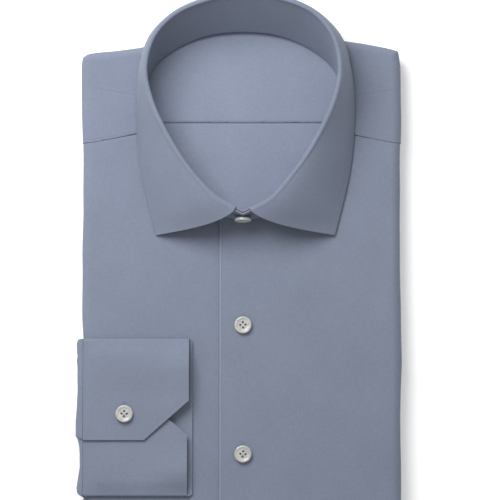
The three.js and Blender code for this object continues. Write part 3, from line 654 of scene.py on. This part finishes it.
def front_panel(side):
    front_edge = -side * LAP_HALF_WIDTH
    neck = neck_line(side * SEAM_SHARE, side * NECK_LAP_SHARE)
    neck[0].y -= SEAM_GAP / 2
    neck[-1].x = front_edge
    inner = neck + [Vector((front_edge, BOTTOM_FOLD_Y + FOLD_RADIUS + 1, 0))]
    corner = bottom_corner(side)
    sides = side_line(side, SEAM_SIDE_Y - SEAM_GAP / 2, corner[0].y + 1)
    outline = sides + corner + [Vector((front_edge, BOTTOM_FOLD_Y, 0))]
    seam_start, seam_end = inner[0], sides[0]
    seam_way = (seam_end - seam_start).normalized()
    seed = 1.3 if side > 0 else 7.9

    def lift(p):
        return slow_lap_lift(p.x, p.y) if side > 0 else 0.0

    def relief(p, off_edge):
        off_seam = abs((p - seam_start).cross(seam_way).z)
        height = lay_of_cloth(p.x, p.y, seed) + crease_height(p.x, p.y, FRONT_CREASES)
        height *= smooth(0, 14, off_seam) * smooth(0, 10, off_edge)
        rolled = read_table(EDGE_ROLL, p.x - front_edge, 1) if side > 0 and p.y < 2 else 0
        return max(height, -0.2) + rolled - seam_roll(off_seam, 1.3, 0.6)

    if side > 0:
        return panel_place(inner, outline, FRONT_TOP, lift, relief)
    turned = panel_place(
        [Vector((-p.x, p.y, 0)) for p in inner],
        [Vector((-p.x, p.y, 0)) for p in outline],
        FRONT_TOP,
        lift,
        lambda p, off_edge: relief(Vector((-p.x, p.y, 0)), off_edge),
    )

    def place(u, v):
        (x, y, z), (flat_x, flat_y) = turned(u, v)
        return (-x, y, z), (-flat_x, flat_y)

    return place


def face_up(mesh):
    """Turns an open sheet's faces to one side, the upper one."""
    bmesh.ops.recalc_face_normals(mesh, faces=mesh.faces)
    if sum(face.normal.z for face in mesh.faces) < 0:
        bmesh.ops.reverse_faces(mesh, faces=mesh.faces)


def panel_mesh(place, across, along):
    laid = {}

    def read(u, v):
        key = (round(u * 100000), round(v * 100000))
        if key not in laid:
            laid[key] = place(u, v)
        return laid[key]

    mesh = shaped_grid(across, along, lambda u, v: read(u, v)[0], lambda u, v: read(u, v)[1])
    face_up(mesh)
    return mesh


# the upper front's turned edge gets a paler strip: a painted highlight
edge_highlight_cloth = cloth_material("edge_highlight_cloth", SHIRT_BLUE, highlight_at=0.6 - LAP_HALF_WIDTH)
for side, name, rests, cloth in (
    (-1, "front_right", "hidden_layers", shirt_cloth),
    (1, "front_left", "front_right_cloth", edge_highlight_cloth),
):
    panel = new_piece(name + "_cloth", panel_mesh(front_panel(side), 110, 290), cloth)
    thicken(panel, CLOTH, edge_round=0.42)
    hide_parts(name)
    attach(panel, "root")


# Yoke: the shoulder piece, cut double. It goes over both shoulders, folds at their edge,
# and its inner layer shows in the neck down to the seam with the back.
YOKE_RISE = 0.4
YOKE_INSIDE_TOP = 18.5
YOKE_INSIDE_INSET = 5.0
YOKE_INSIDE_THICKNESS = 1.0

yoke_neck = neck_line(-SEAM_SHARE, SEAM_SHARE, 140)
yoke_neck[0].y += SEAM_GAP / 2
yoke_neck[-1].y += SEAM_GAP / 2
yoke_outline = upper_outline(SEAM_SIDE_Y + SEAM_GAP / 2)
YOKE_CREASES = [
    (-98, 70, -80, 104, 8, 0.26),
    (-84, 62, -74, 90, 6, 0.20),
    (97, 66, 82, 108, 8, 0.26),
    (84, 64, 78, 84, 6, 0.18),
]


def yoke_relief(p, off_edge):
    ends = ((yoke_neck[0], yoke_outline[0]), (yoke_neck[-1], yoke_outline[-1]))
    off_seam = min(abs((p - a).cross((b - a).normalized()).z) for a, b in ends)
    height = lay_of_cloth(p.x, p.y, 4.4) + crease_height(p.x, p.y, YOKE_CREASES)
    return height * smooth(0, 12, off_seam) * smooth(0, 9, off_edge) - seam_roll(off_seam, 1.0, 0.35)


yoke_height = FRONT_TOP + YOKE_RISE
place_yoke = panel_place(yoke_neck, yoke_outline, yoke_height, lambda p: 0.0, yoke_relief, 0.62, 0.9)
yoke_mesh = panel_mesh(place_yoke, 48, 420)
yoke_top = new_piece("yoke_top", yoke_mesh, shirt_cloth)
thicken(yoke_top, CLOTH, edge_round=0.4)
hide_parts("yoke")
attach(yoke_top, "root")

inside_edge = Route(upper_outline(INSIDE_SEAM_Y + SEAM_GAP / 2))


def place_yoke_inside(u, v):
    edge = inside_edge.point(u) - inside_edge.left(u) * YOKE_INSIDE_INSET
    seam_y = INSIDE_SEAM_Y + SEAM_GAP / 2
    start = Vector((edge.x, seam_y, 0))
    p = start.lerp(edge, 1 - (1 - v) ** 1.6 if edge.y > seam_y else 0)
    unevenness = INSIDE_UNEVENNESS * noise.noise(Vector((p.x / 21, p.y / 25, 2.2)))
    return p.x, p.y, YOKE_INSIDE_TOP - seam_roll(p.y - seam_y) + unevenness


yoke_inside_mesh = shaped_grid(220, 70, place_yoke_inside, lambda u, v: place_yoke_inside(u, v)[:2])
bmesh.ops.remove_doubles(yoke_inside_mesh, verts=yoke_inside_mesh.verts, dist=1e-6)
face_up(yoke_inside_mesh)
# the yoke's inner layer also gets the lighter inside cloth, painted light
yoke_inside = new_piece("yoke_inside", yoke_inside_mesh, inside_cloth)
thicken(yoke_inside, YOKE_INSIDE_THICKNESS, edge_round=0.3)
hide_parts("yoke")
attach(yoke_inside, "root")


# Collar band: a stiffened strip of two layers, standing round the neck, its right end
# lapped over the left one and buttoned at the centre front.
BAND_LAP_SHARE = 1.08
BAND_LAP_OUT = BAND_THICKNESS + SEAM_GAP
BAND_LAP_START = 0.8
BAND_LAP_FULL = 0.91
BAND_BASE_Z = FRONT_TOP + YOKE_RISE + SEAM_GAP
collar_fold = CollarLine(FOLD)
collar_edge = CollarLine(EDGE)


def lap_share(share):
    return smooth(BAND_LAP_START, BAND_LAP_FULL, share)


def band_point(share, up, out_by=0.0):
    """The band's inner face at a share round the neck and up, or a little out of it."""
    base = neck_base.point(share)
    base.z = BAND_BASE_Z + lap_lift(base.x)
    p = base.lerp(collar_fold.point(share), up)
    return p + neck_base.out(share) * (BAND_LAP_OUT * lap_share(share) + out_by)


def place_band(u, v):
    share = BAND_LAP_SHARE * (2 * u - 1)
    return band_point(share, v, BAND_THICKNESS / 2)


band_length = Route([neck_base.point(BAND_LAP_SHARE * (i / 60 - 1)) for i in range(121)]).length
band_mesh = shaped_grid(360, 24, place_band, lambda u, v: (u * band_length, v * 34))
bmesh.ops.recalc_face_normals(band_mesh, faces=band_mesh.faces)
collar_cloth = cloth_material("collar_cloth", SHIRT_BLUE)
band = new_piece("collar_band_cloth", band_mesh, collar_cloth)
thicken(band, BAND_THICKNESS, offset=0.0, edge_round=0.5)
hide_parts("collar_band")
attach(band, "root")


# Collar leaf: the stiffened turndown, folded over the band's upper edge and falling to
# its two spread points, with a soft roll and a plain edge.
LEAF_THICKNESS = 0.85
LEAF_FRONT_SHARE = 0.972
LEAF_SHIFT_X = 1.6
LEAF_BULGE = 1.6
LEAF_SIDE_BULGE = 2.0
LEAF_FRONT_EASE = 0.75
LEAF_GAP = 0.3
LEAF_FRONT_HANG = 4.6
# the leaf's middle where it rolls over the band's upper edge: how far out (as a share of
# the way to its outside), how far in, and how high
LEAF_ROLL = [
    (0, 0.58, -1.7),
    (0, 0.60, -0.7),
    (0, 0.42, 0.3),
    (0.25, 0.1, 0.72),
    (0.62, 0, 0.70),
    (0.92, 0, 0.22),
]


def leaf_line(share):
    """The leaf's middle from inside the band over it and down to its own edge, at one
    share round the neck."""
    out = collar_fold.out(share)
    fold = band_point(share, 1)
    edge = collar_edge.point(share / LEAF_FRONT_SHARE) + Vector((LEAF_SHIFT_X, 0, 0))
    outside = BAND_THICKNESS + LEAF_GAP + LEAF_THICKNESS / 2 + BAND_LAP_OUT * lap_share(-share)
    up = Vector((0, 0, 1))
    fall = edge - fold
    level = smooth(0.1, 0.5, 1 + fall.z / fall.length)
    over = [
        fold + out * (by * outside - inward) + up * (height + 0.5 * level * by)
        for by, inward, height in LEAF_ROLL
    ]
    start = fold + out * outside + up * (1.3 * level - 0.8)
    fall = edge - start
    near_front = smooth(0.78, LEAF_FRONT_SHARE, abs(share))
    bulge = out * LEAF_BULGE + up * LEAF_BULGE
    hang = Vector((0, -LEAF_FRONT_HANG, 0)) * near_front
    roll = bulge * (0.6 + LEAF_SIDE_BULGE * level * (1 - LEAF_FRONT_EASE * near_front))
    first = start + fall * 0.2 - up * fall.length * 0.05 * (1 - level) + roll + hang
    second = start + fall * 0.65 + bulge + hang * 0.2
    drop = interpolate_bezier(start, first, second, edge, 25)
    return Route(soft_line(over + [start], 6) + drop[1:])


LEAF_ROWS = 420
LEAF_PATTERN_LENGTH = 470
leaf_lines = [leaf_line(LEAF_FRONT_SHARE * (2 * i / LEAF_ROWS - 1)) for i in range(LEAF_ROWS + 1)]


def leaf_share(v):
    """Rows a little closer together near the fold."""
    return v * v * 0.35 + v * 0.65


def place_leaf(u, v):
    return leaf_lines[round(u * LEAF_ROWS)].point(leaf_share(v))


def leaf_pattern(u, v):
    return u * LEAF_PATTERN_LENGTH, leaf_lines[round(u * LEAF_ROWS)].length * leaf_share(v)


leaf_mesh = shaped_grid(LEAF_ROWS, 56, place_leaf, leaf_pattern)
bmesh.ops.recalc_face_normals(leaf_mesh, faces=leaf_mesh.faces)
leaf = new_piece("collar_leaf_cloth", leaf_mesh, collar_cloth)
thicken(leaf, LEAF_THICKNESS, offset=0.0, edge_round=0.35)
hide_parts("collar_leaf")
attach(leaf, "root")


# Sleeve end: the wearer's right sleeve, pressed flat, that comes from under the body
# round its left edge and ends at the cuff. It is a tube, puckered where the edge turns.
CUFF_SEAM_X = -104.9
CUFF_TOP_Y = -73.3
CUFF_BOTTOM_Y = -176.8
SLEEVE_THICKNESS = 2.4
SLEEVE_PLAIN_OUT = 3.6
# the sleeve's middle line from the cuff round the edge: x, z, share of the bulge
SLEEVE_PATH = [
    (-105.0, 22.3, 0),
    (-106.2, 21.9, 0.3),
    (-106.9, 19.8, 0.8),
    (-107.0, 16.0, 1),
    (-107.0, 12.4, 1),
    (-106.6, 9.8, 0.7),
    (-105.2, 8.3, 0.2),
    (-103.0, 8.1, 0),
    (-95.0, 8.1, 0),
]
# how far the sleeve stands out past the body's side: y, out
SLEEVE_WAVES = [
    (-73, 5.2),
    (-84, 4.9),
    (-92, 4.5),
    (-104, 4.2),
    (-111, 4.3),
    (-117, 4.7),
    (-127, 5.4),
    (-134, 5.6),
    (-137, 5.5),
    (-139, 4.2),
    (-143, 3.0),
    (-150, 2.2),
    (-158, 2.2),
    (-165, 3.6),
    (-171, 4.8),
    (-174, 4.4),
    (-177, 3.6),
]
# the sleeve's upper layer comes up to the flap beside it: how much, and how far along it sinks
PLACKET_RISE = 1.4
PLACKET_FADE = 4.5
PLACKET_SLANT = 0.5
PLACKET_START_Y = -139.6
SLEEVE_CORNER = 3.4
PUCKER_Y = -84.5
PUCKER_HALF_WIDTH = 1.1
SLEEVE_CLOTH = 0.9
sleeve_path = Route(soft_line([Vector((x, wave, z)) for x, z, wave in SLEEVE_PATH], 8))
sleeve_half = (CUFF_TOP_Y - CUFF_BOTTOM_Y) / 2
sleeve_middle_y = (CUFF_TOP_Y + CUFF_BOTTOM_Y) / 2
tube_half = SLEEVE_THICKNESS / 2
tube_reach = sleeve_half - tube_half
tube_round = 4 * tube_reach + 2 * math.pi * tube_half


def tube_point(u):
    """A place round the flattened tube: how far along the cuff, and off its middle."""
    run = u * tube_round
    turn = math.pi * tube_half
    if run < 2 * tube_reach:
        return run - tube_reach, tube_half
    run -= 2 * tube_reach
    if run < turn:
        angle = run / tube_half
        return tube_reach + tube_half * math.sin(angle), tube_half * math.cos(angle)
    run -= turn
    if run < 2 * tube_reach:
        return tube_reach - run, -tube_half
    angle = (run - 2 * tube_reach) / tube_half
    return -tube_reach - tube_half * math.sin(angle), -tube_half * math.cos(angle)


def place_sleeve(u, v):
    along, off = tube_point(u % 1.0)
    y = sleeve_middle_y + along
    station = sleeve_path.point(v)
    run = v * sleeve_path.length
    placket_y = PLACKET_START_Y + PLACKET_SLANT * min(run, 6)
    over = smooth(placket_y - 0.5, placket_y + 0.5, y) * smooth(0, tube_half, off)
    off += PLACKET_RISE * (1 - smooth(0, PLACKET_FADE, run)) * over
    way = sleeve_path.along(v, 0.4)
    way = Vector((way.x, 0, way.z)).normalized() if v > 0 else Vector((-1, 0, 0))
    out = read_table(SLEEVE_WAVES, y, 1) - SLEEVE_PLAIN_OUT
    pucker = 0.3 * noise.noise(Vector((y / 6.5, v * 3, 6.1))) * station.y
    pucker += 0.45 * station.y * math.exp(-(((y - PUCKER_Y) / PUCKER_HALF_WIDTH) ** 2))
    to_end = min((sleeve_half - abs(along)) / SLEEVE_CORNER, 1)
    corner = station.y * SLEEVE_CORNER * (1 - math.sqrt(1 - (1 - max(to_end, 0)) ** 2 * 0.97))
    x = station.x + way.z * off - station.y * out + corner + pucker
    return x, y, station.z - way.x * off


sleeve_mesh = shaped_grid(
    520, 60, place_sleeve, lambda u, v: (v * sleeve_path.length, u * tube_round), closed=True
)
bmesh.ops.recalc_face_normals(sleeve_mesh, faces=sleeve_mesh.faces)
highest = max(sleeve_mesh.faces, key=lambda face: face.calc_center_median().z)
if highest.normal.z < 0:
    bmesh.ops.reverse_faces(sleeve_mesh, faces=sleeve_mesh.faces)
sleeve = new_piece("sleeve_end", sleeve_mesh, shirt_cloth)
thicken(sleeve, SLEEVE_CLOTH)
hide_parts("sleeve")
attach(sleeve, "root")


# Cuff: a stiffened double strip sewn to the sleeve end, folded flat and buttoned. Its
# flap and underlap have cut corners, and their edges are stitched by machine.
CUFF_EDGE_X = -35.4
CUFF_FLAP_END_Y = -140.2
CUFF_UNDERLAP_END_Y = -111.2
CUFF_CUT_X = 29.5
CUFF_CUT_Y = 25.7
CUFF_CLOTH = 1.3
CUFF_GAP = 0.35
CUFF_FREE_X = -71.0
FLAP_PUFF = 2.0
FLAP_STANDS_OFF = 4.6
UNDERLAP_PUFF = 1.8
UNDERLAP_STANDS_OFF = 3.4
CUFF_STITCH_IN = 3.4
CUFF_STITCH_DEPTH = 0.12
CUFF_STITCH_HALF_WIDTH = 0.5
UNDERLAP_STEP_BACK = 1.2
BACK_STEP_OUT = 2.2
cuff_pitch = CUFF_CLOTH + CUFF_GAP
cuff_low = FRONT_TOP + SEAM_GAP + CUFF_CLOTH / 2
bottom_turn = CUFF_BOTTOM_Y + CUFF_CLOTH / 2 + cuff_pitch / 2
top_turn = CUFF_TOP_Y - CUFF_CLOTH / 2 - cuff_pitch


def cut_back(left):
    """How far the wrist edge is cut back, by what is left to the end of the strip."""
    return CUFF_CUT_X * max(0, 1 - left / CUFF_CUT_Y)


def between(start, end, steps):
    return [start + (end - start) * i / steps for i in range(steps)]


def cuff_rows():
    """The strip from the underlap's end round the back to the flap's end: y, z, the wrist
    edge's x, and which layer it is."""
    rows = []
    chamfer_y = CUFF_UNDERLAP_END_Y - CUFF_CUT_Y
    for y in between(CUFF_UNDERLAP_END_Y, chamfer_y, 24) + between(chamfer_y, bottom_turn, 34):
        edge = CUFF_EDGE_X - UNDERLAP_STEP_BACK - cut_back(CUFF_UNDERLAP_END_Y - y)
        rows.append((y, cuff_low + cuff_pitch, edge, "underlap"))
    for i in range(13):
        turn = i / 12 * math.pi
        edge = CUFF_EDGE_X + (BACK_STEP_OUT + UNDERLAP_STEP_BACK) * smooth(0, 12, i) - UNDERLAP_STEP_BACK
        height = cuff_low + cuff_pitch / 2 * (1 + math.cos(turn))
        rows.append((bottom_turn - cuff_pitch / 2 * math.sin(turn), height, edge, "back"))
    for y in between(bottom_turn, top_turn, 60)[1:]:
        rows.append((y, cuff_low, CUFF_EDGE_X + BACK_STEP_OUT, "back"))
    for i in range(17):
        turn = i / 16 * math.pi
        edge = CUFF_EDGE_X + BACK_STEP_OUT * (1 - smooth(0, 10, i))
        height = cuff_low + cuff_pitch * (1 - math.cos(turn))
        rows.append((top_turn + cuff_pitch * math.sin(turn), height, edge, "back"))
    chamfer_y = CUFF_FLAP_END_Y + CUFF_CUT_Y
    to_end = between(chamfer_y, CUFF_FLAP_END_Y, 26) + [CUFF_FLAP_END_Y]
    for y in between(top_turn, chamfer_y, 40)[1:] + to_end:
        rows.append((y, cuff_low + 2 * cuff_pitch, CUFF_EDGE_X - cut_back(y - CUFF_FLAP_END_Y), "flap"))
    return rows


cuff_strip = cuff_rows()
cuff_steps = len(cuff_strip) - 1
cuff_runs = [0.0]
for before, after in zip(cuff_strip, cuff_strip[1:]):
    cuff_runs.append(cuff_runs[-1] + math.hypot(after[0] - before[0], after[1] - before[1]))


def cuff_rise(x, y, layer):
    """The flap and the underlap stand off the layers below: a little behind their folds,
    and more at the open wrist."""
    wrist = smooth(CUFF_FREE_X, CUFF_EDGE_X, x)
    inward = smooth(CUFF_SEAM_X - 1, CUFF_SEAM_X + 12, x)
    if layer == "flap":
        puff = FLAP_PUFF * smooth(-73.3, -86, y) * (1 - smooth(-87, -114, y))
        return puff * inward + FLAP_STANDS_OFF * wrist * smooth(-74, -96, y)
    if layer == "underlap":
        puff = UNDERLAP_PUFF * smooth(-177, -166, y) * (1 - smooth(-164, -140, y))
        return puff * inward + UNDERLAP_STANDS_OFF * wrist * smooth(-176, -158, y)
    return 0.0


def place_cuff(u, v):
    row = round(v * cuff_steps)
    y, z, edge, layer = cuff_strip[row]
    x = CUFF_SEAM_X + (edge - CUFF_SEAM_X) * u
    z += cuff_rise(x, y, layer)
    if layer == "flap":
        off_stitches = (edge - CUFF_STITCH_IN - x) / CUFF_STITCH_HALF_WIDTH
        z -= CUFF_STITCH_DEPTH * math.exp(-(off_stitches**2))
    return x, y, z + 0.04 * noise.noise(Vector((x / 12, y / 15, row * 0.01)))


def cuff_pattern(u, v):
    row = round(v * cuff_steps)
    return (cuff_strip[row][2] - CUFF_SEAM_X) * u, cuff_runs[row]


cuff_mesh = shaped_grid(130, cuff_steps, place_cuff, cuff_pattern)
bmesh.ops.recalc_face_normals(cuff_mesh, faces=cuff_mesh.faces)
cuff = new_piece("cuff_strip", cuff_mesh, collar_cloth)
thicken(cuff, CUFF_CLOTH, offset=0.0, edge_round=0.26)
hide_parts("cuff")
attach(cuff, "root")


# Buttons: four-hole shell buttons, turned with a raised rim and a dished middle, sewn on
# with doubled thread that fills the holes and goes down to the cloth.
BUTTON_HOLE_RADIUS = 0.72
BUTTON_HOLE_OFFSET = 1.75
THREAD_POST_SIZE = (0.5, 0.5, 0.96)
THREAD_POST_HEIGHT = 0.55
# half section of a button from the back's centre to the face's centre: radius, height
BUTTON_SECTION = [
    (0, 0.0),
    (3.4, 0.0),
    (4.6, 0.18),
    (5.35, 0.62),
    (5.7, 1.25),
    (5.72, 1.75),
    (5.5, 2.3),
    (5.1, 2.58),
    (4.75, 2.6),
    (4.35, 2.46),
    (3.95, 2.16),
    (3.5, 2.0),
    (2.6, 1.93),
    (0, 1.9),
]
pearl = bpy.data.materials.new("pearl_shell")
pearl.use_nodes = True
pearl_tree = pearl.node_tree
pearl_surface = pearl_tree.nodes["Principled BSDF"]
pearl_surface.inputs["Roughness"].default_value = 0.22
pearl_surface.inputs["Specular IOR Level"].default_value = 0.55
pearl_surface.inputs["Coat Weight"].default_value = 0.35
pearl_surface.inputs["Coat Roughness"].default_value = 0.12
pearl_place = pearl_tree.nodes.new("ShaderNodeTexCoord")
pearl_cloud = pearl_tree.nodes.new("ShaderNodeTexNoise")
pearl_cloud.inputs["Scale"].default_value = 260
pearl_cloud.inputs["Detail"].default_value = 3
pearl_cloud.inputs["Distortion"].default_value = 1.4
pearl_ramp = pearl_tree.nodes.new("ShaderNodeValToRGB")
pearl_ramp.color_ramp.elements[0].position = 0.3
pearl_ramp.color_ramp.elements[0].color = (0.35, 0.345, 0.335, 1)
pearl_ramp.color_ramp.elements[1].position = 0.7
pearl_ramp.color_ramp.elements[1].color = (0.51, 0.505, 0.49, 1)
pearl_middle = pearl_ramp.color_ramp.elements.new(0.5)
pearl_middle.color = (0.43, 0.43, 0.415, 1)
pearl_tree.links.new(pearl_place.outputs["Object"], pearl_cloud.inputs["Vector"])
pearl_tree.links.new(pearl_cloud.outputs["Fac"], pearl_ramp.inputs["Fac"])
pearl_tree.links.new(pearl_ramp.outputs["Color"], pearl_surface.inputs["Base Color"])

sewing_thread = bpy.data.materials.new("sewing_thread")
sewing_thread.use_nodes = True
thread_tree = sewing_thread.node_tree
thread_surface = thread_tree.nodes["Principled BSDF"]
thread_surface.inputs["Roughness"].default_value = 0.7
thread_surface.inputs["Sheen Weight"].default_value = 0.2
thread_place = thread_tree.nodes.new("ShaderNodeTexCoord")
thread_twist = thread_tree.nodes.new("ShaderNodeTexWave")
thread_twist.bands_direction = "DIAGONAL"
thread_twist.inputs["Scale"].default_value = 900
thread_ramp = thread_tree.nodes.new("ShaderNodeValToRGB")
thread_ramp.color_ramp.elements[0].color = (0.15, 0.18, 0.245, 1)
thread_ramp.color_ramp.elements[1].color = (0.23, 0.27, 0.36, 1)
thread_tree.links.new(thread_place.outputs["Object"], thread_twist.inputs["Vector"])
thread_tree.links.new(thread_twist.outputs["Fac"], thread_ramp.inputs["Fac"])
thread_tree.links.new(thread_ramp.outputs["Color"], thread_surface.inputs["Base Color"])


def turned_button():
    """A button about the Z axis in millimetres, turned from its half section; its holes are cut later."""
    mesh = bmesh.new()
    line = [mesh.verts.new((radius, 0, height)) for radius, height in BUTTON_SECTION]
    edges = [mesh.edges.new(pair) for pair in zip(line, line[1:])]
    bmesh.ops.spin(
        mesh, geom=line + edges, cent=(0, 0, 0), axis=(0, 0, 1), angle=2 * math.pi, steps=96, use_merge=True
    )
    bmesh.ops.remove_doubles(mesh, verts=mesh.verts, dist=1e-4)
    bmesh.ops.recalc_face_normals(mesh, faces=mesh.faces)
    return mesh


def hole_cutter():
    mesh = bmesh.new()
    for quarter in range(4):
        turn = quarter * math.pi / 2
        made = bmesh.ops.create_cone(
            mesh, cap_ends=True, segments=24, radius1=BUTTON_HOLE_RADIUS, radius2=BUTTON_HOLE_RADIUS, depth=6
        )
        shift = Vector((math.cos(turn), math.sin(turn), 0)) * BUTTON_HOLE_OFFSET
        bmesh.ops.translate(mesh, verts=made["verts"], vec=shift)
    return mesh


def loose_object(name, mesh):
    data = bpy.data.meshes.new(name)
    mesh.to_mesh(data)
    mesh.free()
    piece = bpy.data.objects.new(name, data)
    bpy.context.collection.objects.link(piece)
    return piece


blank = loose_object("button_blank", turned_button())
drill = loose_object("button_drill", hole_cutter())
cutting = blank.modifiers.new("holes", "BOOLEAN")
cutting.operation = "DIFFERENCE"
cutting.solver = "EXACT"
cutting.object = drill
drilled = bpy.data.meshes.new_from_object(blank.evaluated_get(bpy.context.evaluated_depsgraph_get()))
for spare in (blank, drill):
    bpy.data.objects.remove(spare)


def thread_posts():
    """Four ends of thread in the holes, from in the cloth to just under the button's face."""
    mesh = bmesh.new()
    for quarter in range(4):
        turn = quarter * math.pi / 2
        made = bmesh.ops.create_uvsphere(mesh, u_segments=14, v_segments=8, radius=1)
        bmesh.ops.scale(mesh, verts=made["verts"], vec=THREAD_POST_SIZE)
        shift = Vector((math.cos(turn), math.sin(turn), 0)) * BUTTON_HOLE_OFFSET
        bmesh.ops.translate(mesh, verts=made["verts"], vec=shift + Vector((0, 0, THREAD_POST_HEIGHT)))
    return mesh


def settle(mesh, name, turn, place, material):
    """Turns and moves a small part of a button to its place, and rides it on the shirt."""
    bmesh.ops.scale(mesh, verts=mesh.verts, vec=(MM, MM, MM))
    bmesh.ops.rotate(mesh, verts=mesh.verts, cent=(0, 0, 0), matrix=turn)
    bmesh.ops.translate(mesh, verts=mesh.verts, vec=place)
    piece = new_piece(name, mesh, material)
    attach(piece, "root")
    return piece


COLLAR_BUTTON_UP = 0.62
band_up = (band_point(1, 1, BAND_THICKNESS) - band_point(1, 0, BAND_THICKNESS)).normalized()
collar_facing = Vector((1, 0, 0)).cross(band_up)
collar_facing *= -math.copysign(1, collar_facing.y)
collar_seat = band_point(1, COLLAR_BUTTON_UP, BAND_THICKNESS) + collar_facing * SEAM_GAP
BUTTON_SPACING = 84.8
FRONT_BUTTON_Z = FRONT_TOP + LAP_RISE + SEAM_GAP
CUFF_BUTTON_Z = FRONT_TOP + 2 * SEAM_GAP + 3 * CUFF_CLOTH + 2 * CUFF_GAP
upward = Vector((0, 0, 1))
button_places = {
    "button_front_1": (Vector((0, FIRST_BUTTON_Y, FRONT_BUTTON_Z)), upward, 4),
    "button_front_2": (Vector((0, FIRST_BUTTON_Y - BUTTON_SPACING, FRONT_BUTTON_Z)), upward, -6),
    "button_front_3": (Vector((0, FIRST_BUTTON_Y - 2 * BUTTON_SPACING, FRONT_BUTTON_Z)), upward, 8),
    "button_cuff": (Vector((-77.8, -123.0, CUFF_BUTTON_Z)), upward, -3),
    "button_collar": (collar_seat, collar_facing, 0),
}
for name, (seat, facing, twist) in button_places.items():
    turn = facing.to_track_quat("Z", "Y").to_matrix() @ Matrix.Rotation(math.radians(twist), 3, "Z")
    shell = bmesh.new()
    shell.from_mesh(drilled)
    button = settle(shell, name + "_shell", turn, at(*seat), pearl)
    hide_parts(name)
    settle(thread_posts(), name + "_thread", turn, at(*seat), sewing_thread)


# Buttonholes: upright ones in the upper front and along the cuff flap, one along the
# band; two lips of close stitches round a slit, seen only past the buttons.
HOLE_HALF_LENGTH = 6.6
HOLE_LIP_OFF = 0.75
STITCH_PITCH = 0.3
STITCH_SPREAD = 0.52
STITCH_RADIUS = 0.17


def add_stitch(mesh, centre, size):
    place = Matrix.LocRotScale(centre, None, Vector(size))
    bmesh.ops.create_uvsphere(mesh, u_segments=8, v_segments=6, radius=1, matrix=place)


def buttonhole(shift):
    """The stitches of a buttonhole about the Z axis, lengthwise along Y."""
    mesh = bmesh.new()
    count = int(2 * HOLE_HALF_LENGTH / STITCH_PITCH)
    for i in range(count + 1):
        y = shift - HOLE_HALF_LENGTH + i * STITCH_PITCH
        wobble = 0.05 * noise.noise(Vector((i * 0.7, 1.3, 2.1)))
        for side in (-1, 1):
            centre = Vector((side * HOLE_LIP_OFF + wobble, y, 0))
            add_stitch(mesh, centre, (STITCH_SPREAD, STITCH_RADIUS, STITCH_RADIUS))
    for end in (-1, 1):
        for step in range(6):
            x = (step - 2.5) * 0.42
            centre = Vector((x, shift + end * (HOLE_HALF_LENGTH + 0.35), 0))
            add_stitch(mesh, centre, (STITCH_RADIUS + 0.05, 0.5, STITCH_RADIUS))
    return mesh


HOLE_SHIFT = -1.4
for name, (seat, facing, twist) in button_places.items():
    lengthwise = "X" if name == "button_collar" else "Y"
    turn = facing.to_track_quat("Z", lengthwise).to_matrix()
    shift = 0 if name == "button_collar" else HOLE_SHIFT
    place = at(*(seat - facing * (SEAM_GAP - 0.05)))
    hole_name = name.replace("button", "buttonhole")
    settle(buttonhole(shift), hole_name, turn, place, sewing_thread)
